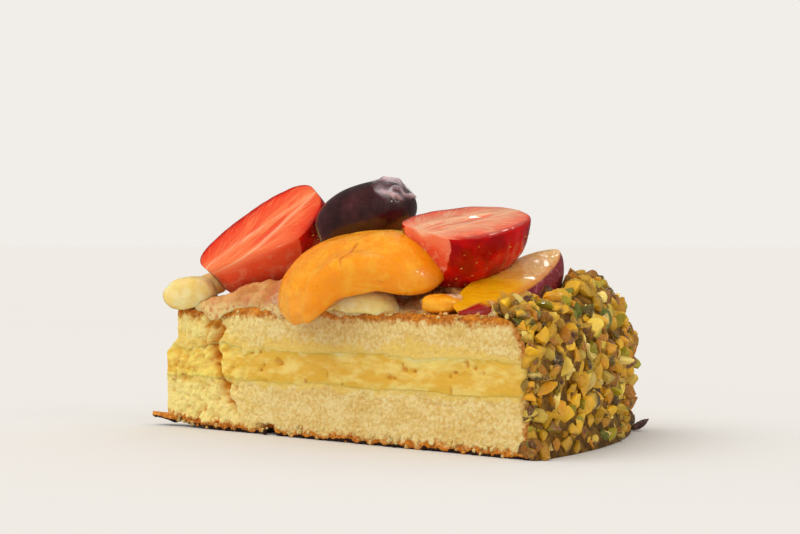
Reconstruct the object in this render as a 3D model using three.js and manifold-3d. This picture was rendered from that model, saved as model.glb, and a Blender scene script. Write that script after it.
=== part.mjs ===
// A slice of a round fruit tart: two layers of sponge with custard between them, a bed of glazed custard
// under the fruit, and chopped pistachios stuck to the curved rim. Millimetres, +Z up.
// The cake frame has its origin on the cake's own axis, at the table, with +X along the middle of the
// slice and the rim at +X. The side towards -Y is the near cut. At the end the slice is moved along X, so
// that the part's origin lies on the table under its middle.
import * as THREE from "three";
import { mergeVertices } from "three/addons/utils/BufferGeometryUtils.js";
import Module from "manifold-3d";

const wasm = await Module();
wasm.setup();

// ---- driving dimensions ----
const sliceHalfAngle = THREE.MathUtils.degToRad(18); // ten slices to the cake
const originFromAxis = 72; // part's origin, measured from the cake's axis
const lowerTop = 15.2; // top of the lower sponge
const custardTop = 24.2; // top of the custard filling
const upperTop = 35.4; // top of the upper sponge
const gap = 0.3; // air between neighbouring pieces
const tipRadius = 1.2; // blunt end of the slice
const cornerRadius = 2; // plan radius where a cut meets the rim
const crumbDepth = 0.45; // how far the cut sponge is uneven
const crackDepth = 5; // the tear near the tip, into the near cut
const toppingSeat = 36.05; // underside of what lies on the upper sponge, clear of its unevenness
const nutSpacing = 6.6; // between the middles of neighbouring nut pieces
const nutSize = 4.5; // a middling nut piece
const coatThickness = 1; // cream that holds the nuts on the rim

// ---- small helpers ----
const { lerp, smoothstep } = THREE.MathUtils;

// Piecewise straight function through [x, y] pairs.
function through(points, x) {
  let i = 1;
  while (i < points.length - 1 && x > points[i][0]) i += 1;
  const [x0, y0] = points[i - 1];
  const [x1, y1] = points[i];
  return lerp(y0, y1, THREE.MathUtils.clamp((x - x0) / (x1 - x0), 0, 1));
}

// A bell of height 1 at x = 0 that is down to a third at x = width.
const bell = (x, width) => Math.exp(-((x / width) ** 2));

// Repeatable random numbers from 0 to 1.
function seededRandom(seed) {
  let state = seed;
  return () => {
    state = (state + 0x6d2b79f5) | 0;
    let t = Math.imul(state ^ (state >>> 15), 1 | state);
    t = (t + Math.imul(t ^ (t >>> 7), 61 | t)) ^ t;
    return ((t ^ (t >>> 14)) >>> 0) / 4294967296;
  };
}

// Smooth unevenness from -1 to 1, made of three crossed waves about `size` millimetres long.
function unevenness(x, y, z, size) {
  const k = (2 * Math.PI) / size;
  const a = Math.sin(k * (0.91 * x + 0.37 * y + 0.53 * z) + 1.3);
  const b = Math.sin(k * (-0.48 * x + 0.83 * y + 0.71 * z) + 4.1);
  const c = Math.sin(k * (0.66 * x - 0.59 * y + 1.13 * z) + 2.6);
  return (a + b + c) / 3;
}

// A closed skin over a grid of rings. Each ring has the same number of points and goes round the same way;
// the first and the last are closed by a fan to `start` and `end`.
function skinOver(rings, start, end) {
  const around = rings[0].length;
  const positions = [...rings.flat(), start, end].flatMap((p) => [p.x, p.y, p.z]);
  const startIndex = rings.length * around;
  const index = [];
  for (let i = 0; i < around; i += 1) {
    const next = (i + 1) % around;
    index.push(startIndex, next, i);
    for (let ring = 0; ring < rings.length - 1; ring += 1) {
      const low = ring * around;
      const high = low + around;
      index.push(low + i, low + next, high + next, low + i, high + next, high + i);
    }
    const last = (rings.length - 1) * around;
    index.push(startIndex + 1, last + i, last + next);
  }
  const geometry = new THREE.BufferGeometry();
  geometry.setAttribute("position", new THREE.Float32BufferAttribute(positions, 3));
  geometry.setIndex(index);
  return geometry;
}

// ---- joining and cutting ----
// A copy with nothing but its places, each corner stored once.
function bareGeometry(geometry) {
  const bare = geometry.clone();
  bare.deleteAttribute("normal");
  bare.deleteAttribute("uv");
  return mergeVertices(bare, 1e-4);
}

function toSolid(geometry) {
  const merged = bareGeometry(geometry);
  return new wasm.Manifold(
    new wasm.Mesh({
      numProp: 3,
      vertProperties: merged.attributes.position.array,
      triVerts: new Uint32Array(merged.index.array),
    }),
  );
}

function toGeometry(solid) {
  const mesh = solid.getMesh();
  const geometry = new THREE.BufferGeometry();
  geometry.setAttribute("position", new THREE.Float32BufferAttribute(mesh.vertProperties, 3));
  geometry.setIndex(new THREE.Uint32BufferAttribute(mesh.triVerts, 1));
  return geometry;
}

// The same shape with every point moved out along its normal.
function grown(geometry, by) {
  const bigger = bareGeometry(geometry);
  bigger.computeVertexNormals();
  const { position, normal } = bigger.attributes;
  for (let i = 0; i < position.count; i += 1) {
    position.setXYZ(
      i,
      position.getX(i) + normal.getX(i) * by,
      position.getY(i) + normal.getY(i) * by,
      position.getZ(i) + normal.getZ(i) * by,
    );
  }
  return bigger;
}

// The largest body of a solid, without the scraps that a cut can leave.
function largestBody(solid) {
  const bodies = solid.decompose();
  return bodies.reduce((best, body) => (body.volume() > best.volume() ? body : best));
}

// A piece with room cut in it for its neighbours.
function cutBy(geometry, neighbours) {
  const cutters = neighbours.map((neighbour) => toSolid(grown(neighbour, gap)));
  const cut = cutters.reduce((solid, cutter) => solid.subtract(cutter), toSolid(geometry));
  return toGeometry(largestBody(cut));
}

// ---- the slice's outline ----
// Radius of the sponge and custard at the rim, at a height.
function rimRadius(z) {
  const profile = [
    [0, 138.6],
    [3, 138.2],
    [lowerTop, 136.4],
    [custardTop, 137.6],
    [28, 136.8],
    [32, 134.6],
    [34.4, 131.8],
    [upperTop, 129.4],
  ];
  return through(profile, z);
}

// Stations round the slice, anticlockwise seen from above: along the near cut from the tip, round the rim,
// and back along the far cut. A cut's station says how far from the tip it lies, the rim's how far round.
const tipLength = tipRadius / Math.tan(sliceHalfAngle);
const cutLength = 134; // along a cut, from the tip to the corner
const rimSteps = 16;

function outlineStations() {
  const tornSteps = [5.5, 7.8, 10, 12.5, 15, 17.5, 20, 22, 24, 26, 28, 30, 32.5, 35.5, 39, 42, 45];
  const nearSteps = [tipLength, ...tornSteps];
  for (let s = 50; s < cutLength - cornerRadius; s += 5.5) nearSteps.push(s);
  const farSteps = [tipLength];
  for (let s = 8; s < cutLength - cornerRadius; s += 6.8) farSteps.push(s);
  const stations = nearSteps.map((s) => ({ side: "near", s }));
  for (let i = 0; i <= rimSteps; i += 1) {
    stations.push({ side: "rim", turn: lerp(-1, 1, i / rimSteps) });
  }
  farSteps.reverse().forEach((s) => stations.push({ side: "far", s }));
  stations.push({ side: "tip" });
  return stations;
}

// Where the tear in the near cut lies, measured from the tip, at a height.
const crackPlace = (z) =>
  through(
    [
      [2, 35],
      [7, 31.5],
      [10, 28],
      [14, 27],
      [19, 24],
      [36, 22.5],
    ],
    z,
  );

// How far the near cut is set in (negative) or stands out, at s from the tip and height z.
function nearRelief(s, z) {
  const torn = smoothstep(60 - s, 0, 50); // the first third of the cut is torn, the rest is sliced
  const crackWidth = z > 17 ? 2.3 : 1.6;
  const open = smoothstep(z, 3, 8);
  const crack = -crackDepth * open * bell(s - crackPlace(z), crackWidth);
  const crumbs = unevenness(s, 0, z, 8.5) * lerp(crumbDepth, 2 * crumbDepth, torn);
  return crack + crumbs;
}

// A point of the outline at a station and height, moved out by `extra`. At the rim it only ever moves in.
function outlinePoint(station, z, extra) {
  if (station.side === "tip") {
    const bluntTip = tipRadius / Math.sin(sliceHalfAngle) - tipRadius;
    return new THREE.Vector3(bluntTip + tipSetback(z) - extra, 0, z);
  }
  if (station.side === "rim") {
    const cornerInset = Math.abs(station.turn) === 1 ? 0.45 * cornerRadius : 0;
    const radius = rimRadius(z) + Math.min(extra, 0) - cornerInset;
    const angle = station.turn * sliceHalfAngle;
    const r = radius + unevenness(angle * radius, 3, z, 11) * crumbDepth;
    return new THREE.Vector3(r * Math.cos(angle), r * Math.sin(angle), z);
  }
  const sign = station.side === "near" ? -1 : 1;
  const relief =
    station.side === "near" ? nearRelief(station.s, z) : unevenness(station.s, 9, z, 9) * crumbDepth;
  const setback = tipSetback(z) * (1 - smoothstep(station.s, 3, 14));
  const reach = (station.s / cutLength) * (rimRadius(z) - 0.75 * cornerRadius) + setback;
  const out = relief + extra;
  return new THREE.Vector3(
    reach * Math.cos(sliceHalfAngle) - out * Math.sin(sliceHalfAngle),
    sign * (reach * Math.sin(sliceHalfAngle) + out * Math.cos(sliceHalfAngle)),
    z,
  );
}

// The upper sponge has lost a few millimetres at the tip; the lower one comes right out.
const tipSetback = (z) => 3.6 * smoothstep(z, custardTop - 2, custardTop + 3);

// ---- layers ----
// Height of an interface between two layers over the plan.
const interfaceWave = (x, y, height) => height + 0.45 * unevenness(x, y, height, 26);

// A layer of the slice from `low` to `high`: each level is a share of that height with its own extra width.
// `floor` and `roof` say how the two faces rise and fall.
function layer(low, high, levels, floor, roof) {
  const stations = outlineStations();
  const rings = levels.map(({ share, extra }) =>
    stations.map((station) => {
      const z = lerp(low, high, share);
      const point = outlinePoint(station, z, extra);
      point.z = lerp(floor(point.x, point.y), roof(point.x, point.y), share);
      return point;
    }),
  );
  const middle = 88;
  const start = new THREE.Vector3(middle, 0.7, floor(middle, 0.7));
  const end = new THREE.Vector3(middle, 0.7, roof(middle, 0.7));
  return skinOver(rings, start, end);
}

// The browned base of the lower sponge lies flat, and curls up off the table at the tip.
const baseHeight = (x, y) => (Math.hypot(x, y) > 24 ? 0 : 2.2 * (1 - smoothstep(Math.hypot(x, y), 1, 24)));

function plainLowerSponge() {
  const levels = [
    { share: 0, extra: 0.2 },
    { share: 0.06, extra: 0.7 },
    { share: 0.13, extra: 0.4 },
    { share: 0.2, extra: -0.1 },
    { share: 0.42, extra: 0 },
    { share: 0.64, extra: 0.1 },
    { share: 0.86, extra: 0 },
    { share: 1, extra: -0.5 },
  ];
  return layer(0, lowerTop, levels, baseHeight, (x, y) => interfaceWave(x, y, lowerTop));
}

// The thin dark flake of base crust that sticks out past the tip, and joins the lower sponge.
function baseFlake() {
  const length = 9;
  const rings = [0, 0.25, 0.6, 1].map((share) => {
    const x = lerp(-2.6, length - 2.6, share);
    const halfWidth = lerp(1.1, 3, share);
    const z = lerp(2.9, 1.9, share);
    const thickness = lerp(0.8, 1.4, share);
    return [
      new THREE.Vector3(x, -halfWidth, z),
      new THREE.Vector3(x, halfWidth, z - 0.1),
      new THREE.Vector3(x, halfWidth * 0.8, z + thickness),
      new THREE.Vector3(x, -halfWidth * 0.9, z + thickness * 1.1),
    ];
  });
  return skinOver(rings, new THREE.Vector3(-3, 0, 3.4), new THREE.Vector3(length - 2.4, 0, 2.6));
}

// Notch where a bit of the base crust has broken away under the near cut.
function baseNotch() {
  const notch = new THREE.BoxGeometry(4.6, 5, 3.4);
  const s = 43;
  notch.rotateZ(-sliceHalfAngle);
  notch.translate(s * Math.cos(sliceHalfAngle), -s * Math.sin(sliceHalfAngle), 0);
  return notch;
}

function lowerSponge() {
  const whole = toSolid(plainLowerSponge()).add(toSolid(baseFlake()));
  return toGeometry(largestBody(whole.subtract(toSolid(baseNotch()))));
}

function custardFilling() {
  const levels = [
    { share: 0, extra: -0.9 },
    { share: 0.28, extra: 0.1 },
    { share: 0.62, extra: 0.5 },
    { share: 1, extra: -0.6 },
  ];
  const low = lowerTop + gap;
  return layer(
    low,
    custardTop,
    levels,
    (x, y) => interfaceWave(x, y, lowerTop) + gap,
    (x, y) => interfaceWave(x, y, custardTop),
  );
}

// The upper sponge is level on top, and its browned shoulder falls away at the rim.
function upperSponge() {
  const levels = [
    { share: 0, extra: -0.7 },
    { share: 0.2, extra: 0 },
    { share: 0.45, extra: 0.2 },
    { share: 0.7, extra: 0.1 },
    { share: 0.9, extra: -0.1 },
    { share: 1, extra: -0.9 },
  ];
  return layer(
    custardTop + gap,
    upperTop,
    levels,
    (x, y) => interfaceWave(x, y, custardTop) + gap,
    (x, y) => upperTop - 0.6 * (1 - smoothstep(x, 8, 50)) + 0.3 * unevenness(x, y, 0, 30),
  );
}

// ---- fruit ----
// Puts a piece made about its own origin where it lies: `axis` is where its own +X points and `face` is
// roughly where its own +Z points.
function placed(geometry, { at, axis, face }) {
  const x = new THREE.Vector3(...axis).normalize();
  const y = new THREE.Vector3(...face).cross(x).normalize();
  const z = new THREE.Vector3().crossVectors(x, y);
  const matrix = new THREE.Matrix4().makeBasis(x, y, z).setPosition(...at);
  return geometry.applyMatrix4(matrix);
}

// Half a strawberry. Its own +X runs from the hulled end to the tip, and the cut face looks along +Z.
// The half width at a share t of the length is wide at the shoulder and narrows to a blunt tip.
function strawberryHalf({ length, width, depth, shoulder = 0.3, point = 0.62 }) {
  const peak = shoulder / (shoulder + point);
  const top = peak ** shoulder * (1 - peak) ** point;
  const halfShape = (t) => (t ** shoulder * (1 - t) ** point) / top;
  const shares = [0.012, 0.05, 0.13, 0.24, 0.36, 0.48, 0.6, 0.72, 0.83, 0.92, 0.975];
  const rings = shares.map((t) => {
    const half = halfShape(t);
    const ring = [];
    for (let i = 0; i < 10; i += 1) {
      const turn = Math.PI * (1 + i / 10); // the skin side
      ring.push([Math.cos(turn), Math.sin(turn) * depth]);
    }
    ring.push([0.97, 0.02 * depth], [0.5, 0.55], [0, 0.8], [-0.5, 0.55]);
    return ring.map(([across, up], i) => {
      const skin = i < 10 ? 1 : 0;
      return new THREE.Vector3(
        (t - 0.5) * length,
        (across * half * width) / 2,
        skin ? up * half : up * Math.min(1, half),
      );
    });
  });
  const start = new THREE.Vector3(-length / 2 + 0.6, 0, -depth * 0.25);
  const end = new THREE.Vector3(length / 2, 0, -depth * 0.08);
  return skinOver(rings, start, end);
}

// A long grape, slightly bent, with a dimple where its stalk was.
function longGrape({ length, thickness, bend }) {
  const shares = [0.015, 0.07, 0.17, 0.3, 0.44, 0.58, 0.72, 0.84, 0.93, 0.985];
  const around = 14;
  const rings = shares.map((t) => {
    const half = (thickness / 2) * (1 - Math.abs(2 * t - 1) ** 2.3) ** 0.5;
    const lift = bend * (1 - (2 * t - 1) ** 2);
    return Array.from({ length: around }, (_, i) => {
      const turn = (2 * Math.PI * i) / around;
      return new THREE.Vector3((t - 0.5) * length, Math.cos(turn) * half, Math.sin(turn) * half + lift);
    });
  });
  const start = new THREE.Vector3(-length / 2 + 0.9, 0, 0);
  const end = new THREE.Vector3(length / 2, 0, 0);
  return skinOver(rings, start, end);
}

// Half an apricot lying on its cut side: a dome along +Z with a flat cut below and a hollow for the stone.
// The front of its edge (towards -Y) is lifted and drawn in as an arch.
function apricotHalf({ length, width, height, arch, archAt, drawnIn }) {
  const around = 22;
  const profile = [
    [0.25, 0.97],
    [0.5, 0.88],
    [0.72, 0.72],
    [0.88, 0.5],
    [0.97, 0.27],
    [1, 0.1],
    [0.96, 0],
    [0.78, 0.03],
    [0.5, 0.06],
    [0.36, 0.24],
    [0.18, 0.34],
  ];
  const rings = profile.map(([share, level]) =>
    Array.from({ length: around }, (_, i) => {
      const turn = (2 * Math.PI * i) / around;
      const front = Math.max(0, -Math.sin(turn)) * bell(Math.cos(turn) - archAt, 0.42);
      const arched = front * smoothstep(share, 0.45, 0.95);
      const out = (share / 2) * (1 + 0.03 * Math.sin(3 * turn + 0.6)) * (1 - drawnIn * arched);
      return new THREE.Vector3(
        Math.cos(turn) * out * length,
        Math.sin(turn) * out * width,
        level * height + arch * arched,
      );
    }),
  );
  const start = new THREE.Vector3(0, 0, height);
  const end = new THREE.Vector3(0, 0, height * 0.38);
  return skinOver(rings.map((ring) => ring.reverse()), start, end);
}

// A wedge cut from a nectarine: two flat cut faces that meet at the stone edge, and a band of skin.
// Its own +X is the wedge's length, and the first cut face looks along +Z.
function nectarineWedge({ length, depth, thickness }) {
  const shares = [0.02, 0.08, 0.18, 0.31, 0.45, 0.6, 0.74, 0.86, 0.95, 0.985];
  const rings = shares.map((t) => {
    const size = Math.sin(Math.PI * t) ** 0.55;
    const stone = 1.6 * Math.sin(Math.PI * t); // the hollow that the stone left along the inner edge
    const section = [
      [-0.5 * depth * size + stone, -0.6],
      [-0.2 * depth * size, 0.1],
      [0.2 * depth * size, 0.15],
      [0.47 * depth * size, 0],
      [0.52 * depth * size, -0.14 * thickness * size],
      [0.53 * depth * size, -0.4 * thickness * size],
      [0.49 * depth * size, -0.68 * thickness * size],
      [0.4 * depth * size, -0.9 * thickness * size],
      [0.28 * depth * size, -1 * thickness * size],
      [-0.1 * depth * size, -0.5 * thickness * size - 0.4],
    ];
    return section.map(([y, z]) => new THREE.Vector3((t - 0.5) * length, -y, z));
  });
  const start = new THREE.Vector3(-length / 2, -0.12 * depth, -0.3 * thickness);
  const end = new THREE.Vector3(length / 2, -0.12 * depth, -0.3 * thickness);
  return skinOver(rings, start, end);
}

// A rounded chunk of soft fruit, between a ball and a block, a little uneven.
function fruitChunk({ length, width, height, seed = 0, squareness = 0.75 }) {
  const ball = bareGeometry(new THREE.IcosahedronGeometry(1, 2));
  const { position } = ball.attributes;
  const blocky = (v) => Math.sign(v) * Math.abs(v) ** squareness;
  for (let i = 0; i < position.count; i += 1) {
    const [x, y, z] = [position.getX(i), position.getY(i), position.getZ(i)];
    const swell = 1 + 0.07 * unevenness(x + seed, y, z, 1.7);
    position.setXYZ(
      i,
      (blocky(x) * swell * length) / 2,
      (blocky(y) * swell * width) / 2,
      (blocky(z) * swell * height) / 2,
    );
  }
  return ball;
}

// ---- custard bed under the fruit ----
// Its height over the plan: thin at the edges, mounded in the middle where the fruit is piled.
function bedHeight(x, y) {
  const edge = 2.4 + 0.8 * unevenness(x, y, 0, 13);
  const mound = 14 * bell(x - 68, 24) * bell(y - 3, 15) + 5 * bell(x - 100, 16) * bell(y + 4, 18);
  const leftLump = 4.4 * bell(x - 33, 10) * bell(y + 8, 8);
  return edge + mound + leftLump;
}

function custardBed() {
  const outline = [];
  const near = (s, inset) => [
    s * Math.cos(sliceHalfAngle) + inset * Math.sin(sliceHalfAngle),
    -s * Math.sin(sliceHalfAngle) + inset * Math.cos(sliceHalfAngle),
  ];
  for (let s = 22; s <= 122; s += 6.25) outline.push(near(s, 1.2 + 1.1 * unevenness(s, 0, 0, 15)));
  for (let turn = -0.75; turn <= 0.76; turn += 0.25) {
    outline.push([120 * Math.cos(turn * sliceHalfAngle), 120 * Math.sin(turn * sliceHalfAngle)]);
  }
  for (let s = 122; s >= 22; s -= 10) {
    const [x, y] = near(s, 1.4 + 1.1 * unevenness(s, 7, 0, 15));
    outline.push([x, -y]);
  }
  const centre = new THREE.Vector2(78, 0);
  const ringAt = (share, raise) =>
    outline.map(([x, y]) => {
      const px = lerp(centre.x, x, share);
      const py = lerp(centre.y, y, share);
      return new THREE.Vector3(px, py, toppingSeat + raise * bedHeight(px, py));
    });
  const rings = [ringAt(1, 0), ringAt(1, 0.6), ringAt(0.93, 1), ringAt(0.68, 1), ringAt(0.36, 1)];
  const end = new THREE.Vector3(centre.x, centre.y, toppingSeat + bedHeight(centre.x, centre.y));
  return skinOver(rings, new THREE.Vector3(centre.x, centre.y, toppingSeat), end);
}

// ---- pistachio coat ----
const besideSponge = (z) => rimRadius(z) + crumbDepth + gap;
const outsideCount = 9; // points of the coat's section that belong to the outside

// Height of the coat's crest; turn runs from -1 at the near cut to 1 at the far one.
const crestHeight = (turn) =>
  through(
    [
      [-1, 40],
      [-0.65, 41.2],
      [-0.1, 42.8],
      [0.2, 46],
      [0.45, 45],
      [0.7, 43],
      [1, 41.4],
    ],
    turn,
  );

// The coat's section at a place round the rim: radius and height pairs, first the outside from the table
// over the crest, then back along the sponge.
function coatSection(turn) {
  const crest = crestHeight(turn);
  const high = (crest - 40) / 6;
  const inner = lerp(127, 123.6, high);
  const thickness = coatThickness * (1 - 0.4 * turn ** 8);
  const outside = (z) => [besideSponge(z) + thickness, z];
  return [
    outside(0),
    outside(8),
    outside(lowerTop),
    outside(custardTop),
    [136.6 + thickness, 31],
    [lerp(135.2, 134.4, high), lerp(36.4, 40, high)],
    [lerp(131.4, 129.6, high), crest - 0.8],
    [inner + 2.6, crest],
    [inner + 0.5, lerp(38.4, 41, high)],
    [inner, toppingSeat],
    [128.8, toppingSeat],
    [132.6, 34.8],
    [besideSponge(31.5), 31.5],
    [besideSponge(27), 27],
    [besideSponge(custardTop), custardTop],
    [besideSponge(lowerTop), lowerTop],
    [besideSponge(0), 0],
  ];
}

// A place on the rim; turn runs from -1 at the near cut to 1 at the far one.
function onRim(r, turn, z) {
  const angle = turn * sliceHalfAngle;
  return [r * Math.cos(angle), r * Math.sin(angle), z];
}

// A band round the rim with the section that `sectionAt` gives for each turn, closed flat at both ends. The
// section runs anticlockwise. `reach` is how far round the band goes, 1 for just up to the cuts.
function rimBand(sectionAt, reach) {
  const steps = 12;
  const around = sectionAt(0).length;
  const positions = [];
  const index = [];
  for (let i = 0; i <= steps; i += 1) {
    const turn = lerp(-1, 1, i / steps);
    sectionAt(turn).forEach(([r, z]) => positions.push(...onRim(r, turn * reach, z)));
  }
  for (let low = 0; low < steps * around; low += 1) {
    const next = low % around === around - 1 ? low + 1 - around : low + 1;
    index.push(low, next + around, next, low, low + around, next + around);
  }
  const capFaces = (turn) => {
    const contour = sectionAt(turn).map(([r, z]) => new THREE.Vector2(r, z));
    return THREE.ShapeUtils.triangulateShape(contour, []);
  };
  const last = steps * around;
  capFaces(-1).forEach(([a, b, c]) => index.push(a, b, c));
  capFaces(1).forEach(([a, b, c]) => index.push(last + a, last + c, last + b));
  const geometry = new THREE.BufferGeometry();
  geometry.setAttribute("position", new THREE.Float32BufferAttribute(positions, 3));
  geometry.setIndex(index);
  return geometry;
}

const coatCore = () => rimBand(coatSection, 0.987);

// The room that the sponge and custard fill, just under the coat's cream: nut pieces end at it.
function roomInsideCoat() {
  const cover = 0.25; // cream left between the nuts and the sponge
  const wellInside = 112;
  const section = [
    [wellInside, -5],
    [besideSponge(0) + cover, -5],
    [besideSponge(0) + cover, 0],
    [besideSponge(lowerTop) + cover, lowerTop],
    [besideSponge(custardTop) + cover, custardTop],
    [besideSponge(27) + cover, 27],
    [besideSponge(31.5) + cover, 31.8],
    [132.8, 35.2],
    [129, toppingSeat + cover],
    [wellInside, toppingSeat + cover],
  ];
  return rimBand(() => section, 1.2);
}

// One chopped bit of nut: a rough block with every corner out of true.
function nutChunk(random, size) {
  const length = lerp(0.9, 1.5, random());
  const width = lerp(0.75, 1.1, random());
  const height = lerp(0.6, 0.95, random());
  const chunk = bareGeometry(new THREE.BoxGeometry(length, width, height));
  const { position } = chunk.attributes;
  for (let i = 0; i < position.count; i += 1) {
    const swell = size * lerp(0.72, 1.12, random());
    position.setXYZ(i, position.getX(i) * swell, position.getY(i) * swell, position.getZ(i) * swell);
  }
  const spin = new THREE.Euler(random() * Math.PI, random() * Math.PI, random() * Math.PI * 2);
  return chunk.applyMatrix4(new THREE.Matrix4().makeRotationFromEuler(spin));
}

// Nut bits in staggered rows over the outside and the top of the coat, each set a little into the cream.
function nutChunks() {
  const random = seededRandom(12);
  const nuts = [];
  const rowSpacing = 0.87 * nutSpacing;
  const rows = Math.round(lineLength(coatSection(0).slice(0, outsideCount)) / rowSpacing);
  const count = Math.round((2 * sliceHalfAngle * rimRadius(0)) / nutSpacing);
  for (let row = 0; row <= rows; row += 1) {
    for (let i = 0; i < count; i += 1) {
      const stagger = (row % 2) * 0.5 + 0.25 + 0.4 * (random() - 0.5);
      const turn = lerp(-0.98, 0.97, (i + stagger) / count);
      const along = (row + 0.3 + 0.35 * (random() - 0.5)) / (rows + 0.6);
      const size = nutSize * lerp(0.75, 1.2, random());
      const [r, z] = pointAlong(coatSection(turn).slice(0, outsideCount), along);
      const place = onRim(r - 0.5, turn, Math.max(z, size / 3));
      nuts.push(nutChunk(random, size).translate(...place));
    }
  }
  const fallen = onRim(142.2, 0.86, 1.6); // one has slipped down to the table
  nuts.push(nutChunk(random, nutSize).translate(...fallen));
  return nuts;
}

const lineSteps = (line) => line.slice(1).map(([r, z], i) => Math.hypot(r - line[i][0], z - line[i][1]));
const lineLength = (line) => lineSteps(line).reduce((sum, step) => sum + step, 0);

// The point at a share of the length of an open line of [r, z] pairs.
function pointAlong(line, share) {
  const steps = lineSteps(line);
  let left = THREE.MathUtils.clamp(share, 0, 1) * lineLength(line);
  let i = 0;
  while (i < steps.length - 1 && left > steps[i]) {
    left -= steps[i];
    i += 1;
  }
  const t = left / steps[i];
  return [lerp(line[i][0], line[i + 1][0], t), lerp(line[i][1], line[i + 1][1], t)];
}

// The cream and its nuts as one body, cut off level with the table.
function pistachioCoat(neighbours) {
  const table = new THREE.BoxGeometry(60, 120, 10).translate(135, 0, -5);
  const nuts = wasm.Manifold.union(nutChunks().map(toSolid)).subtract(toSolid(roomInsideCoat()));
  const joined = toSolid(coatCore()).add(nuts).subtract(toSolid(table));
  return cutBy(toGeometry(largestBody(joined)), neighbours);
}

// ---- the slice ----
const finishes = {
  sponge: { color: 0xe6cf86, roughness: 0.9 },
  custard: { color: 0xdfb84f, roughness: 0.45 },
  glazedCream: { color: 0xdcb98a, roughness: 0.3 },
  strawberry: { color: 0xc0241c, roughness: 0.3 },
  grape: { color: 0x3a1620, roughness: 0.25 },
  apricot: { color: 0xf5931e, roughness: 0.3 },
  nectarine: { color: 0xe9b52c, roughness: 0.35 },
  pear: { color: 0xe9d68b, roughness: 0.35 },
  pistachio: { color: 0xa8913a, roughness: 0.5 },
};

// Each piece of fruit: its own shape and where it lies in the cake frame.
const fruit = {
  strawberry_left: {
    finish: "strawberry",
    shape: strawberryHalf({ length: 40, width: 23, depth: 11.2, shoulder: 0.24, point: 0.32 }),
    place: { at: [37.2, -4.2, 55.6], axis: [0.717, 0.306, 0.63], face: [-0.048, -0.877, 0.48] },
  },
  strawberry_right: {
    finish: "strawberry",
    shape: strawberryHalf({ length: 37, width: 29, depth: 16, shoulder: 0.2, point: 0.5 }),
    place: { at: [103.6, -9, 58.4], axis: [0.72, 0.69, 0.05], face: [0.233, -0.292, 0.93] },
  },
  black_grape: {
    finish: "grape",
    shape: longGrape({ length: 30.5, thickness: 16.4, bend: 0.8 }),
    place: { at: [66.8, 3.5, 61.6], axis: [0.8, 0.52, 0.25], face: [-0.2, -0.1, 1] },
  },
  apricot_front: {
    finish: "apricot",
    shape: apricotHalf({ length: 51, width: 39, height: 15, arch: 3.4, archAt: 0.2, drawnIn: 0.24 }),
    place: { at: [74, -16.5, 41.4], axis: [0.965, 0.03, 0.15], face: [-0.02, -0.5, 0.86] },
  },
  nectarine_wedge: {
    finish: "nectarine",
    shape: nectarineWedge({ length: 49, depth: 20, thickness: 12 }),
    place: { at: [114.9, -12.6, 44.4], axis: [0.25, 0.908, 0.32], face: [0.162, -0.379, 0.911] },
  },
  apricot_back: {
    finish: "apricot",
    shape: apricotHalf({ length: 44, width: 34, height: 14, arch: 2, archAt: -0.2, drawnIn: 0.1 }),
    place: { at: [79, 14.5, 42.6], axis: [-0.97, -0.1, 0.02], face: [0.03, 0.42, 0.9] },
  },
  pear_tip: {
    finish: "pear",
    shape: fruitChunk({ length: 17, width: 11.5, height: 9.8 }),
    place: { at: [11.6, -1.6, 39.9], axis: [0.95, 0.2, 0.15], face: [-0.1, 0, 1] },
  },
  pear_front: {
    finish: "pear",
    shape: fruitChunk({ length: 22, width: 12, height: 6, seed: 2 }),
    place: { at: [77, -21.2, 38.6], axis: [0.95, -0.3, -0.04], face: [0, -0.25, 1] },
  },
  apricot_piece: {
    finish: "apricot",
    shape: fruitChunk({ length: 10.5, width: 8, height: 4.8, seed: 4 }),
    place: { at: [101.5, -28.6, 38.3], axis: [0.95, -0.3, 0], face: [0, -0.1, 1] },
  },
};

function named(name, geometry, finish) {
  const material = new THREE.MeshStandardMaterial({ ...finishes[finish], metalness: 0, flatShading: true });
  const mesh = new THREE.Mesh(geometry, material);
  mesh.name = name;
  return mesh;
}

const slice = new THREE.Group();
const upper = upperSponge();
slice.add(named("lower_sponge", lowerSponge(), "sponge"));
slice.add(named("custard_filling", custardFilling(), "custard"));
slice.add(named("upper_sponge", upper, "sponge"));

const settled = [upper];
for (const [name, { finish, shape, place }] of Object.entries(fruit)) {
  const geometry = placed(shape, place);
  slice.add(named(name, cutBy(geometry, settled), finish));
  settled.push(geometry);
}
slice.add(named("custard_bed", cutBy(custardBed(), settled), "glazedCream"));
slice.add(named("pistachio_coat", pistachioCoat(settled), "pistachio"));

slice.position.x = -originFromAxis;
export default slice;
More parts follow.
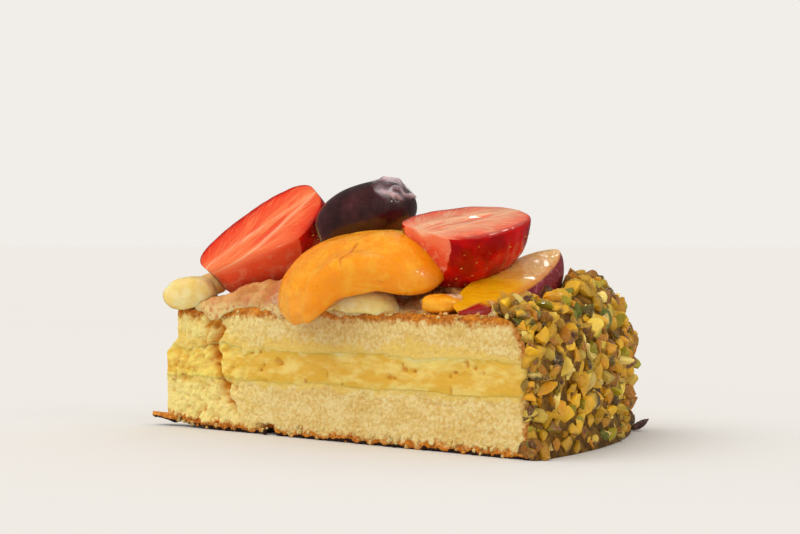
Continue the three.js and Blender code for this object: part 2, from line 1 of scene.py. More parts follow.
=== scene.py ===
# A slice of round fruit tart on a pale floor: two layers of sponge with custard between them, a bed of glazed
# custard under the fruit, and chopped pistachios round the rim.
# Shapes are worked out in millimetres in the cake's own frame: the origin is on the axis of the whole cake at
# the table, +X runs along the middle of the slice to the rim, and the cut at the front faces -Y.
import itertools
import math
import bmesh
import bpy
import numpy as np
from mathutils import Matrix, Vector


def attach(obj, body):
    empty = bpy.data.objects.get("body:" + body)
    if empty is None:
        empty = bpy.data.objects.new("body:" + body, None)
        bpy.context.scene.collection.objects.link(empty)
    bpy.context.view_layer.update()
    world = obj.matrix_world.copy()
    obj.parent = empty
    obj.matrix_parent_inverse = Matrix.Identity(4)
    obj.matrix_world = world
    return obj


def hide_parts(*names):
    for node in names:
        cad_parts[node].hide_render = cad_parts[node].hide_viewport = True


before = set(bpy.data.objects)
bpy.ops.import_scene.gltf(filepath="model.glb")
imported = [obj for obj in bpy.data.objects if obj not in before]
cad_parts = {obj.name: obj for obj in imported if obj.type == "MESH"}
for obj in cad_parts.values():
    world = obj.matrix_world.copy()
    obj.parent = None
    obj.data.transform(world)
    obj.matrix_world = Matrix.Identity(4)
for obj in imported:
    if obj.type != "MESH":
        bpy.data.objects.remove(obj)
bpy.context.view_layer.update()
metresPerMillimetre = 0.001

cake = {
    "halfAngle": math.radians(18),
    "originFromAxis": 72.0,  # the slice's own origin, from the axis of the cake
    "lowerTop": 15.2,
    "custardTop": 24.2,
    "upperTop": 35.4,
    "tipRadius": 1.2,
    "cornerRadius": 2.0,
    "toppingSeat": 36.05,  # what lies on the upper sponge starts here
    "rimHeights": [0, 3, 15.2, 24.2, 28, 32, 34.4, 35.4],
    "rimRadii": [138.6, 138.2, 136.4, 137.6, 136.8, 134.6, 131.8, 129.4],
    "middle": (88.0, 0.7),  # the point of the plan that the faces of the layers are drawn towards
    "sharpEdge": 62,  # degrees
}


def smoothStep(value, low, high):
    # 3t^2 - 2t^3 of where the value lies between low and high
    t = np.clip((value - low) / (high - low), 0, 1)
    return t * t * (3 - 2 * t)


def bell(x, width):
    # exp(-(x / width)^2)
    return np.exp(-((x / width) ** 2))


def unevenness(x, y, z, size):
    # the mean of three crossed sine waves, each about `size` long
    k = 2 * math.pi / size
    a = np.sin(k * (0.91 * x + 0.37 * y + 0.53 * z) + 1.3)
    b = np.sin(k * (-0.48 * x + 0.83 * y + 0.71 * z) + 4.1)
    c = np.sin(k * (0.66 * x - 0.59 * y + 1.13 * z) + 2.6)
    return (a + b + c) / 3


def latticeValue(cell, seed):
    # a repeatable number from 0 to 1 for each cell, by mixing the bits of its three whole-number places
    c = cell.astype(np.int64).astype(np.uint64)
    mask = np.uint64(0xFFFFFFFF)
    h = c[..., 0] * np.uint64(73856093) ^ c[..., 1] * np.uint64(19349663) ^ c[..., 2] * np.uint64(83492791)
    h = (h ^ np.uint64(seed * 2654435761 + 97)) & mask
    h = ((h ^ (h >> np.uint64(15))) * np.uint64(2246822519)) & mask
    h = ((h ^ (h >> np.uint64(13))) * np.uint64(3266489917)) & mask
    return ((h ^ (h >> np.uint64(16))) & mask).astype(float) / 4294967296.0


def softNoise(points, size, seed=0):
    # value noise from -1 to 1: the numbers at the eight corners of a cell, blended by 3t^2 - 2t^3 each way
    q = points / size
    cell = np.floor(q)
    t = q - cell
    t = t * t * (3 - 2 * t)
    total = 0
    for corner in itertools.product((0, 1), repeat=3):
        weight = np.prod(np.where(np.array(corner) == 1, t, 1 - t), axis=-1)
        total = total + weight * latticeValue(cell + np.array(corner), seed)
    return 2 * total - 1


def roughNoise(points, size, seed=0, octaves=3):
    # value noise added to itself at half the size and half the height, a few times
    total = 0
    for k in range(octaves):
        total = total + softNoise(points, size / 2**k, seed + k) * 0.5**k
    return total / (2 - 0.5 ** (octaves - 1))


def lumps(points, size, seed=0):
    # rounded lumps with creases between them: 1 - d^2 from the nearest of one random point in each cell
    q = points / size
    cell = np.floor(q)
    nearest = np.full(points.shape[:-1], 9.0)
    for step in itertools.product((-1, 0, 1), repeat=3):
        other = cell + np.array(step)
        site = other + np.stack([latticeValue(other, seed + k) for k in range(3)], axis=-1)
        nearest = np.minimum(nearest, ((q - site) ** 2).sum(-1))
    return 1 - np.clip(nearest, 0, 1)


def unitRows(vectors):
    return vectors / np.maximum(np.linalg.norm(vectors, axis=-1, keepdims=True), 1e-9)


def turnedAxes(axis, face):
    # own +X points along axis, and own +Z roughly along face
    x = unitRows(np.array(axis, float))
    y = unitRows(np.cross(face, x))
    return np.stack([x, y, np.cross(x, y)])


def placed(points, at, axis, face):
    # turned to the axes, with the origin moved to at
    return points @ turnedAxes(axis, face) + np.array(at)


def localTo(points, at, axis, face):
    # the other way round: places in the piece's own frame
    return (points - np.array(at)) @ turnedAxes(axis, face).T


def closedSkin(rows):
    # a grid of closed rings, joined ring to ring, with a fan of triangles to a point at each end
    count, around = rows.shape[:2]
    points = np.concatenate([rows.reshape(-1, 3), [rows[0].mean(0), rows[-1].mean(0)]])
    index = np.arange(count * around).reshape(count, around)
    beside = np.roll(index, -1, axis=1)
    quads = np.stack([index[:-1], beside[:-1], beside[1:], index[1:]], -1).reshape(-1, 4)
    startFan = np.stack([beside[0], index[0], np.full(around, count * around)], -1)
    endFan = np.stack([index[-1], beside[-1], np.full(around, count * around + 1)], -1)
    return points, quads, np.concatenate([startFan, endFan])


def repeated(faces, count, pointCount):
    # the faces of one small piece, for as many copies as there are, each with its own points
    return (faces[None] + np.arange(count)[:, None, None] * pointCount).reshape(-1, 3)


def enclosed(points, triangles):
    # six times the volume, by the sum of the triple products of the triangles
    a, b, c = (points[triangles[:, k]] for k in range(3))
    return np.einsum("ij,ij->i", a, np.cross(b, c)).sum()


def ringAndEnds(values):
    # a value for each point of a closed skin, and the means of the first and last rings for its two ends
    return np.concatenate([values.reshape(-1), [values[0].mean(), values[-1].mean()]])


def addPiece(name, points, faces, material, replaced=(), tones=None, sharp=None):
    # faces is a list of index arrays, of quads or triangles; tones maps an attribute's name to its values
    allFaces = [face for block in faces for face in block.tolist()]
    mesh = bpy.data.meshes.new(name)
    moved = (points - np.array([cake["originFromAxis"], 0, 0])) * metresPerMillimetre
    mesh.from_pydata(moved.tolist(), [], allFaces)
    mesh.update()
    for key, values in (tones or {}).items():
        kind = "FLOAT" if values.ndim == 1 else "FLOAT_COLOR"
        layer = mesh.attributes.new(key, kind, "POINT")
        layer.data.foreach_set("value" if values.ndim == 1 else "color", values.astype(np.float32).ravel())
    mesh.shade_smooth()
    if sharp is not None:
        mesh.set_sharp_from_angle(angle=math.radians(sharp))
    piece = bpy.data.objects.new(name, mesh)
    bpy.context.scene.collection.objects.link(piece)
    mesh.materials.append(material)
    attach(piece, "root")
    for node in replaced:
        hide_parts(node)
    print(name, len(points), "points")
    return piece


def addSkin(name, rows, material, replaced=(), tones=None, sharp=None):
    # a closed skin turned so that its faces point outwards; tones are given on the grid of rings
    points, quads, fans = closedSkin(rows)
    triangles = np.concatenate([quads[:, [0, 1, 2]], quads[:, [0, 2, 3]], fans])
    if enclosed(points, triangles) < 0:
        quads, fans = quads[:, ::-1], fans[:, ::-1]
    tones = {key: ringAndEnds(values) for key, values in (tones or {}).items()}
    return addPiece(name, points, [quads, fans], material, replaced, tones, sharp)


def tint(red, green, blue):
    # a screen colour from 0 to 255 as the linear colour that a shader takes
    screen = np.array([red, green, blue]) / 255
    linear = np.where(screen <= 0.04045, screen / 12.92, ((screen + 0.055) / 1.055) ** 2.4)
    return (*linear.tolist(), 1.0)


def softFlesh(weight, radius, scale):
    # how far light spreads under the surface; scale in metres
    return {"Subsurface Weight": weight, "Subsurface Radius": radius, "Subsurface Scale": scale}


class Value:
    # a socket of a shader's node that takes part in sums; each sum adds a Math node
    def __init__(self, finish, socket):
        self.finish = finish
        self.socket = socket

    def sum(self, operation, left, right):
        return self.finish.node("ShaderNodeMath", {"operation": operation}, {0: left, 1: right})

    def __add__(self, other):
        return self.sum("ADD", self, other)

    def __radd__(self, other):
        return self.sum("ADD", other, self)

    def __sub__(self, other):
        return self.sum("SUBTRACT", self, other)

    def __rsub__(self, other):
        return self.sum("SUBTRACT", other, self)

    def __mul__(self, other):
        return self.sum("MULTIPLY", self, other)

    def __rmul__(self, other):
        return self.sum("MULTIPLY", other, self)


class Finish:
    # a material round one Principled shader; constants are set on the shader's own sockets
    def __init__(self, name, constants):
        self.material = bpy.data.materials.new(name)
        self.material.use_nodes = True
        self.tree = self.material.node_tree
        self.shader = self.tree.nodes["Principled BSDF"]
        for key, value in constants.items():
            self.shader.inputs[key].default_value = value

    def node(self, kind, settings=None, inputs=None, output=0):
        made = self.tree.nodes.new(kind)
        for key, value in (settings or {}).items():
            setattr(made, key, value)
        for key, value in (inputs or {}).items():
            self.feed(made.inputs[key], value)
        return Value(self, made.outputs[output])

    def feed(self, socket, value):
        if isinstance(value, Value):
            self.tree.links.new(value.socket, socket)
        else:
            socket.default_value = value

    def attribute(self, name, output=2):
        return self.node("ShaderNodeAttribute", {"attribute_name": name}, output=output)

    def attributes(self, *names):
        return (self.attribute(name) for name in names)

    def place(self):
        return self.node("ShaderNodeTexCoord", output="Object")

    def layered(self):
        # places squashed along X and Y, so that patterns on them run level
        return self.node(
            "ShaderNodeVectorMath", {"operation": "MULTIPLY"}, {0: self.place(), 1: (0.5, 0.5, 1.15)}
        )

    def noise(self, size, detail=3, roughness=0.55, place=None, distortion=0.0):
        # size is the length of a feature in millimetres
        inputs = {
            "Vector": place or self.place(),
            "Scale": 1000 / size,
            "Detail": detail,
            "Roughness": roughness,
            "Distortion": distortion,
        }
        return self.node("ShaderNodeTexNoise", None, inputs)

    def vector(self, x, y, z):
        return self.node("ShaderNodeCombineXYZ", None, {0: x, 1: y, 2: z})

    def between(self, value, low, high, bottom=0.0, top=1.0):
        # bottom below low, top above high, and smooth between
        inputs = {0: value, 1: low, 2: high, 3: bottom, 4: top}
        return self.node("ShaderNodeMapRange", {"interpolation_type": "SMOOTHSTEP"}, inputs)

    def mix(self, factor, first, second):
        # a colour of three numbers is a screen colour, one of four is already linear
        first, second = (tint(*c) if isinstance(c, tuple) and len(c) == 3 else c for c in (first, second))
        inputs = {0: factor, 6: first, 7: second}
        return self.node("ShaderNodeMix", {"data_type": "RGBA"}, inputs, output=2)

    def bump(self, height, distance):
        # distance in millimetres
        return self.node(
            "ShaderNodeBump", None, {"Height": height, "Distance": distance * metresPerMillimetre}
        )

    def finishWith(self, color, normal=None, roughness=None):
        self.feed(self.shader.inputs["Base Color"], color)
        if normal is not None:
            self.feed(self.shader.inputs["Normal"], normal)
        if roughness is not None:
            self.feed(self.shader.inputs["Roughness"], roughness)
        return self.material


shot = {
    "place": (0.2044, -0.4657, 0.0536),
    "azimuth": math.radians(23.1),
    "pitchDown": math.atan(22 / 1800),
    "lens": 81.0,
    "room": (241, 237, 232),
    "floor": (240, 236, 230),
    "keyShare": 0.24,  # what each lamp adds to a level floor, next to the light of the room
    "glintShare": 0.018,
    "reflected": 0.17,
}


def addCamera():
    camera = bpy.data.objects.new("camera", bpy.data.cameras.new("camera"))
    bpy.context.scene.collection.objects.link(camera)
    a, p = shot["azimuth"], shot["pitchDown"]
    look = Vector((-math.sin(a) * math.cos(p), math.cos(a) * math.cos(p), -math.sin(p)))
    camera.location = shot["place"]
    camera.rotation_euler = look.to_track_quat("-Z", "Y").to_euler()
    camera.data.sensor_width = 36
    camera.data.lens = shot["lens"]
    camera.data.clip_start = 0.01
    camera.data.clip_end = 200
    bpy.context.scene.camera = camera


def addLamp(name, right, back, up, spread, share, color, seen=True):
    # a distant soft lamp; right and back are as the camera sees them, share is what it adds to a level floor
    a = shot["azimuth"]
    towards = Vector((right * math.cos(a) - back * math.sin(a), right * math.sin(a) + back * math.cos(a), up))
    towards.normalize()
    lamp = bpy.data.objects.new(name, bpy.data.lights.new(name, "SUN"))
    lamp.data.angle = math.radians(spread)
    lamp.data.energy = share * math.pi / towards.z
    lamp.data.color = color
    lamp.rotation_euler = towards.to_track_quat("Z", "Y").to_euler()
    lamp.visible_glossy = seen
    bpy.context.scene.collection.objects.link(lamp)


def addStage():
    # a level floor, wide enough to meet the room's own pale colour at the horizon
    side = np.linspace(-60, 60, 5)
    x, y = np.meshgrid(side, side, indexing="ij")
    points = np.stack([x, y, 0 * x], -1).reshape(-1, 3)
    index = np.arange(25).reshape(5, 5)
    quads = np.stack([index[:-1, :-1], index[1:, :-1], index[1:, 1:], index[:-1, 1:]], -1).reshape(-1, 4)
    mesh = bpy.data.meshes.new("floor")
    mesh.from_pydata(points.tolist(), [], quads.tolist())
    floor = bpy.data.objects.new("floor", mesh)
    bpy.context.scene.collection.objects.link(floor)
    paper = Finish("paperFloor", {"Roughness": 1.0, "Specular IOR Level": 0.0})
    light = np.array(tint(*shot["room"])[:3]) + shot["keyShare"] + 3 * shot["glintShare"]
    full = np.array(tint(*shot["floor"])[:3]) / light
    grain = paper.noise(400, 2)
    color = paper.mix(grain, (*(full * 0.985).tolist(), 1), (*(full * 1.015).tolist(), 1))
    mesh.materials.append(paper.finishWith(color))
    floor.visible_glossy = False  # the white paper would veil the glossy fruit


def addRoom():
    room = bpy.data.worlds.new("room")
    room.use_nodes = True
    sky = room.node_tree.nodes["Background"]
    sky.inputs["Color"].default_value = tint(*shot["room"])
    # the room is dimmer in reflections, as a studio is away from its white paper
    path = room.node_tree.nodes.new("ShaderNodeLightPath")
    dim = room.node_tree.nodes.new("ShaderNodeMapRange")
    dim.inputs["To Min"].default_value = 1.0
    dim.inputs["To Max"].default_value = shot["reflected"]
    room.node_tree.links.new(path.outputs["Is Glossy Ray"], dim.inputs["Value"])
    room.node_tree.links.new(dim.outputs["Result"], sky.inputs["Strength"])
    bpy.context.scene.world = room
    bpy.context.scene.view_settings.view_transform = "Standard"


addCamera()
addStage()
addRoom()
addLamp("keyLamp", -0.6, -0.25, 0.9, 50, shot["keyShare"], (1.0, 0.98, 0.95), seen=False)
addLamp("rightGlint", 0.62, -0.62, 0.55, 4, shot["glintShare"], (1.0, 0.98, 0.95))
addLamp("sideGlint", 0.9, -0.5, 0.62, 8, shot["glintShare"], (1.0, 0.98, 0.96))
addLamp("backGlint", 0.15, 0.75, 0.8, 5, shot["glintShare"], (1.0, 0.98, 0.96))
print("stage set")


def rimRadius(z):
    # straight lines between the radii that the rim has at a few heights
    return np.interp(z, cake["rimHeights"], cake["rimRadii"])


def tipSetback(z):
    return 3.6 * smoothStep(z, 22.2, 27.2)


def setbackAt(s, z):
    # the blunted tip: it dies away along the cuts
    return tipSetback(z) * (1 - smoothStep(s, 3, 14))


def calmAtTip(s):
    # relief is lower right at the tip, where the two cuts meet
    return smoothStep(s, 1, 15) * 0.7 + 0.3


def baseHeight(x, y):
    # the base lies flat and curls up off the table at the tip
    return 2.2 * (1 - smoothStep(np.hypot(x, y), 1, 24))


def crackPlace(z):
    # how far from the tip the tear in the near cut lies, at a height
    return np.interp(z, [2, 7, 10, 14, 19, 36], [35, 31.5, 28, 27, 23.5, 21.5])


def planOutline(z):
    # Stations anticlockwise round the slice at each height: out along the near cut, round its corner, along
    # the rim, round the far corner, back along the far cut and round the tip. Gives places, outward normals,
    # and for each station how much it belongs to the near and to the far cut.
    a, c, r = cake["halfAngle"], cake["cornerRadius"], cake["tipRadius"]
    radius = rimRadius(z)[:, None]
    turnIn = np.arcsin(c / (radius - c))
    cutEnd = np.sqrt((radius - c) ** 2 - c**2)
    cutStart = r / math.tan(a)
    nearShare, farShare = np.linspace(0, 1, 430)[None], np.linspace(1, 0, 250)[None]
    corner = np.linspace(0, 1, 8)[None, 1:-1]
    rim = np.linspace(-1, 1, 110)[None]
    tip = np.linspace(0, 1, 10)[None, 1:-1]
    cornerStart = -a - math.pi / 2

    nearS = cutStart + nearShare * (cutEnd - cutStart)
    farS = cutStart + farShare * (cutEnd - cutStart)
    cornerAngle = cornerStart + corner * (turnIn - a - cornerStart)
    rimAngle = rim * (a - turnIn)
    tipAngle = (math.pi / 2 + a) + tip * (math.pi - 2 * a) + 0 * radius

    def polar(angle, middleX, middleY, length):
        return np.stack([middleX + length * np.cos(angle), middleY + length * np.sin(angle)], -1)

    middleX, middleY = (radius - c) * np.cos(a - turnIn), (radius - c) * np.sin(a - turnIn)
    places = [
        polar(-a + 0 * nearS, 0, 0, nearS),
        polar(cornerAngle, middleX, -middleY, c),
        polar(rimAngle, 0, 0, radius),
        polar(-cornerAngle[:, ::-1], middleX, middleY, c),
        polar(a + 0 * farS, 0, 0, farS),
        polar(tipAngle, r / math.sin(a), 0, r),
    ]
    far = -cornerAngle[:, ::-1]
    angles = np.concatenate(
        [cornerStart + 0 * nearS, cornerAngle, rimAngle, far, -cornerStart + 0 * farS, tipAngle], 1
    )
    normals = np.stack([np.cos(angles), np.sin(angles)], -1)
    nearness = np.clip(np.cos(angles - cornerStart), 0, 1) ** 2
    farness = np.clip(np.cos(angles + cornerStart), 0, 1) ** 2
    return np.concatenate(places, 1), normals, nearness, farness


def tornAt(x):
    # 1 in the crumbled end near the tip, falling to 0 where the slice is cut cleanly
    return 1 - smoothStep(x, 16, 50)


def flatSpots(x, y, height):
    return np.stack([x, y, 0 * x + height], -1)


def interfaceHeight(x, y, height, rough):
    # the level of the face between two layers: slow waves, with finer noise that grows where it is torn
    spots = flatSpots(x, y, height)
    fine = roughNoise(spots, 6.0, int(height)) + 0.5 * (lumps(spots, 3.4, 5) - 0.7)
    return height + 0.45 * unevenness(x, y, height, 26) + (rough + 1.1 * tornAt(x)) * fine


def lowerRoof(x, y):
    return interfaceHeight(x, y, cake["lowerTop"], 0.35)


def custardRoof(x, y):
    return interfaceHeight(x, y, cake["custardTop"], 0.95)


def upperRoof(x, y):
    # slightly lower at the tip, with slow waves and the lumps of a baked top
    spots = flatSpots(x, y, 36)
    baked = (
        0.3 * unevenness(x, y, 0, 30)
        + 0.5 * roughNoise(spots, 4.0, 36)
        + 0.35 * (lumps(spots, 2.6, 37) - 0.7)
    )
    return cake["upperTop"] - 0.6 * (1 - smoothStep(x, 8, 50)) + baked


def tornLumps(spot):
    # clustered crumbs of three sizes, the same through every layer, and the gaps between them, which are
    # given painted shade
    coarse, medium, fine = lumps(spot, 3.6, 11) - 0.7, lumps(spot, 1.8, 7) - 0.7, lumps(spot, 1.0, 3) - 0.72
    relief = 1.8 * coarse + 1.2 * medium + 0.45 * fine + 0.9 * roughNoise(spot, 9, 14)
    return relief, -1.1 * coarse - 0.5 * medium


def atSeam(spot, relief, cut):
    # where two layers meet, both come out by the same slow noise, so that no step shows between them
    z = spot[..., 2]
    close = np.maximum(bell(z - cake["lowerTop"], 0.5), bell(z - cake["custardTop"], 0.9))
    return relief + close * (0.35 * cut * roughNoise(spot * [1, 1, 0.01], 5, 77) - relief)


def crackDepth(spot, s):
    # a tear: a bell across a ragged line that leans away from the tip, broken up by crumbs
    z = spot[..., 2]
    width = np.interp(z, [6, 18, 24, 34], [1.2, 1.5, 2.4, 3.0]) * (1 + 0.5 * softNoise(spot, 4, 32))
    depth = 3.6 * smoothStep(z, 3, 8) * (0.8 + 0.8 * (lumps(spot, 2.6, 33) - 0.6))
    return depth * bell(s - crackPlace(z) - 2.2 * roughNoise(spot, 5, 31), np.maximum(width, 0.6))


def layerShape(low, high, floorOf, roofOf, reliefOf, levels, edges, topRows=16):
    # Walls: each height share of the outline moved out along its normal by the relief, and drawn in along a
    # quarter circle at the bottom and top edges. Caps: the edge ring carried towards the middle.
    share = np.linspace(0, 1, levels)
    z = low + share * (high - low)
    plan, normals, near, far = planOutline(z)
    s = np.hypot(plan[..., 0], plan[..., 1])
    zGrid = z[:, None] + 0 * s
    plan[..., 0] += setbackAt(s, zGrid)
    spot = np.concatenate([plan, zGrid[..., None]], -1)
    relief, tones = reliefOf(spot, s, near, far)
    ragged = 1 + 0.6 * roughNoise(spot, 5, 61)
    inset = 0
    for fromEdge, edge in ((zGrid - low, edges[0]), (high - zGrid, edges[1])):
        tuck = np.clip(1 - fromEdge / (edge * ragged), 0, 1)
        inset = inset + edge * ragged * (1 - np.sqrt(1 - tuck**2))
    plan = plan + normals * (relief - inset)[..., None]
    x, y = plan[..., 0], plan[..., 1]
    height = floorOf(x, y) + share[:, None] * (roofOf(x, y) - floorOf(x, y))
    walls = np.concatenate([plan, height[..., None]], -1)
    middle = np.array(cake["middle"])
    reach = np.concatenate([[0.006, 0.015, 0.027, 0.045], np.linspace(0.07, 0.93, topRows)])

    def cap(edgeRing, levelOf, seed):
        flat = edgeRing[None, :, :2] + reach[:, None, None] * (middle - edgeRing[None, :, :2])
        level = levelOf(flat[..., 0], flat[..., 1])
        spots = np.concatenate([flat, level[..., None]], -1)
        fade = smoothStep(reach, 0, 0.03)[:, None]
        spots[..., 2] += fade * 0.28 * (roughNoise(spots, 1.6, seed) + 0.6 * (lumps(spots, 1.3, seed) - 0.7))
        return spots

    bottom = cap(walls[0], floorOf, 21)[::-1]
    top = cap(walls[-1], roofOf, 22)
    rows = np.concatenate([bottom, walls, top])
    spread = {}
    for key, values in tones.items():
        under = np.repeat(values[:1], len(bottom), 0)
        over = np.repeat(values[-1:], len(top), 0)
        spread[key] = np.concatenate([under, values, over])
    part = np.concatenate([np.zeros(len(bottom)), np.ones(len(walls)), np.full(len(top), 2.0)])
    spread["part"] = part[:, None] + 0 * rows[..., 0]  # 0 underneath, 1 the sides, 2 on top
    return rows, spread


sponge = {
    "pale": (239, 218, 154),
    "middle": (221, 186, 106),
    "inside": (255, 236, 148),  # where it was torn, not cut
    # deep: the deep yellow of fine specks, and the painted shade in pits, gaps between crumbs and the tear
    "deep": (222, 150, 40),
    "soaked": (236, 200, 96),  # where custard has soaked in
    "crust": (222, 138, 34),
    "toast": (174, 98, 34),
    "char": (52, 33, 27),
    "grain": 1.0,  # size of the crumb's smallest lumps
}


def spongeRelief(spot, s, near, far):
    # outward relief: fine rounded lumps with a few open pores on the sliced part, and clustered crumbs where
    # it is torn near the tip and along the base
    z = spot[..., 2]
    cut = np.maximum(near, far)
    torn = near * tornAt(s) + 0.35 * far * (1 - smoothStep(s, 10, 40))
    base = near * (1 - smoothStep(z + 0.8 * softNoise(spot, 3, 9), 0.8, 3.4)) * (z < 16)
    fine, medium = lumps(spot, sponge["grain"], 3) - 0.72, lumps(spot, 1.8, 7) - 0.7
    pore = smoothStep(roughNoise(spot, 1.5, 15, 2), 0.3, 0.6)
    own = (
        cut * (0.2 * fine + 0.25 * roughNoise(spot, 7, 14) - 0.3 * pore)
        + base * (0.9 * medium + 0.5 * fine)
    )
    lumpy, gaps = tornLumps(spot)
    crack = near * crackDepth(spot, s)
    relief = calmAtTip(s) * (atSeam(spot, own, cut) + torn * lumpy)
    # painted shade: pores, gaps between torn crumbs and the tear are coloured darker the deeper they lie,
    # lumps by the base less
    pit = -0.35 * fine + 0.3 * pore + torn * gaps - 0.9 * base * medium + 0.27 * crack
    return relief - crack, {"pit": np.clip(pit, 0, 1), "torn": torn}


def spongeFinish(name):
    made = Finish(
        name,
        {
            "Roughness": 0.85,
            "Specular IOR Level": 0.18,
            **softFlesh(0.3, (1.0, 0.6, 0.2), 0.0018),
        },
    )
    pit, crust, char, soaked, torn = made.attributes("pit", "crust", "char", "soaked", "torn")
    level = made.layered()
    grain = made.noise(1.0, 3, 0.6)
    patch = made.noise(4, 3, 0.6, level)
    cloud = made.noise(14, 2)
    speck = made.noise(0.45, 2)
    color = made.mix(made.between(0.6 * grain + 0.4 * patch, 0.38, 0.62), sponge["pale"], sponge["middle"])
    color = made.mix(torn * 0.75, color, sponge["inside"])
    color = made.mix(made.between(speck + 0.5 * (grain - 0.5), 0.56, 0.76) * 0.4, color, sponge["deep"])
    moist = made.between(soaked + 0.5 * (cloud - 0.5) + 0.9 * (patch - 0.5) + 0.9 * (grain - 0.5), 0.2, 0.95)
    color = made.mix(moist * made.between(grain, 0.3, 0.6, 0.95, 0.6), color, sponge["soaked"])
    # painted shade in the pits, the gaps between crumbs and the tear
    color = made.mix(made.between(pit + 0.3 * (speck - 0.5), 0.1, 1.05), color, sponge["deep"])
    toasted = made.mix(made.between(grain + 0.6 * patch, 0.6, 1.0), sponge["crust"], sponge["toast"])
    color = made.mix(
        made.between(crust + 0.9 * (grain - 0.5) + 0.4 * (speck - 0.5), 0.15, 0.95), color, toasted
    )
    color = made.mix(made.between(char + 0.5 * (grain - 0.5), 0.35, 0.65), color, sponge["char"])
    normal = made.bump(grain + 0.6 * speck, 0.42)
    return made.finishWith(color, normal)


def addLowerSponge():
    rows, tones = layerShape(0, cake["lowerTop"], baseHeight, lowerRoof, spongeRelief, 52, (0.4, 0.02))
    part = tones["part"]
    above = rows[..., 2] - baseHeight(rows[..., 0], rows[..., 1])
    fromRim = cake["rimRadii"][0] - np.hypot(rows[..., 0], rows[..., 1])
    ragged, fine = roughNoise(rows, 2.6, 41), roughNoise(rows, 1.3, 42)
    crumbs = lumps(rows, 1.8, 7)
    baseCrust = 1 - smoothStep(above + 1.4 * ragged + 1.6 * (crumbs - 0.6), 0.8, 3.8)
    rimCrust = 1 - smoothStep(fromRim + 1.2 * ragged, 0.4, 5.6)
    tones["crust"] = np.clip(np.maximum(baseCrust, 0.85 * rimCrust), 0, 1)
    burnt = 1 - smoothStep(above + 0.7 * ragged + 0.3 * fine, 0.5, 1.0)
    tones["char"] = np.where(part < 0.5, 1.0, burnt)
    below = lowerRoof(rows[..., 0], rows[..., 1]) - rows[..., 2]
    tones["soaked"] = 1 - smoothStep(below + 1.6 * ragged + 1.4 * roughNoise(rows, 7, 44), 0.0, 2.2)
    lost = bell(rows[..., 0] - 42.5, 2.6) * bell(rows[..., 1] + 13.6, 4.5) * (above < 3.4)
    lost = lost * smoothStep(3.4 - above, 0, 1.2)  # a bit of the base broke away
    rows = rows + np.stack([0.4 * lost, 2.6 * lost, 1.2 * lost], -1)
    chips = 0.45 * np.clip(fine + 0.6 * ragged, -1, 0.4) * (1 - smoothStep(above, 0.2, 1.4)) * (part < 1.5)
    rows[..., 2] = np.maximum(rows[..., 2] - chips * smoothStep(above, -0.5, 0.1), 0.02)
    crumb = spongeFinish("lowerCrumb")
    addSkin("lowerSponge", rows, crumb, ["lower_sponge"], tones, cake["sharpEdge"])


def addUpperSponge():
    rows, tones = layerShape(
        cake["custardTop"], cake["upperTop"], custardRoof, upperRoof, spongeRelief, 42, (0.02, 0.6), 26
    )
    part = tones["part"]
    x, y = rows[..., 0], rows[..., 1]
    below = upperRoof(x, y) - rows[..., 2]
    fromRim = rimRadius(rows[..., 2]) - np.hypot(x, y)
    ragged = roughNoise(rows, 2.4, 43)
    crumbs = lumps(rows, 1.8, 7)
    topCrust = 1 - smoothStep(below + 1.1 * ragged + 0.9 * (crumbs - 0.6), 0.4, 4.2)
    rimCrust = 1 - smoothStep(fromRim + 1.1 * ragged, 0.2, 5.4)
    tones["crust"] = np.clip(np.where(part > 1.5, 0.9, np.maximum(topCrust, 0.85 * rimCrust)), 0, 1)
    tones["char"] = 0 * part
    above = rows[..., 2] - custardRoof(x, y)
    tones["soaked"] = 1 - smoothStep(above + 2.4 * ragged + 3.4 * roughNoise(rows, 9, 44), 0.3, 4.4)
    crumb = spongeFinish("upperCrumb")
    addSkin("upperSponge", rows, crumb, ["upper_sponge"], tones, cake["sharpEdge"])


def addBaseFlake():
    # a flat strip of base crust: rings of a squashed oval whose height follows the curl, carried along X
    share = np.linspace(0.02, 0.98, 50)[:, None]
    turn = np.linspace(0, 2 * math.pi, 40, endpoint=False)[None]
    x = -2.6 + 9 * share + 0 * turn
    wide = (1.3 + 1.9 * share) * np.sqrt(np.clip(1 - (1 - share * 1.3).clip(0, 1) ** 4, 0.05, 1))
    thick = 0.6 + 0.55 * share
    y = wide * np.sign(np.cos(turn)) * np.abs(np.cos(turn)) ** 0.6
    z = 3.3 - 1.1 * share + thick * np.sin(turn)
    rows = np.stack([x, y, z], -1)
    outward = unitRows(rows - rows.mean(1, keepdims=True))
    rows = rows + outward * (0.4 * roughNoise(rows, 1.4, 51) + 0.35 * (lumps(rows, 1.2, 52) - 0.6))[..., None]
    tones = {
        "pit": 0.2 + 0 * z,
        "crust": 0.85 + 0 * z,
        "soaked": 0 * z,
        "torn": 0 * z,
        "char": smoothStep(-np.sin(turn) + 0.5 * roughNoise(rows, 1.5, 53), -0.1, 0.5),
    }
    addSkin("baseFlake", rows, bpy.data.materials["lowerCrumb"], (), tones)


addLowerSponge()
addUpperSponge()
addBaseFlake()
print("sponge baked")


custard = {
    "smooth": (228, 180, 62),
    "light": (240, 212, 118),
    # deep: used only as painted shade, in holes, gaps, the tear and along the joint with the lower sponge
    "deep": (210, 132, 12),
    "torn": (255, 226, 112),
}


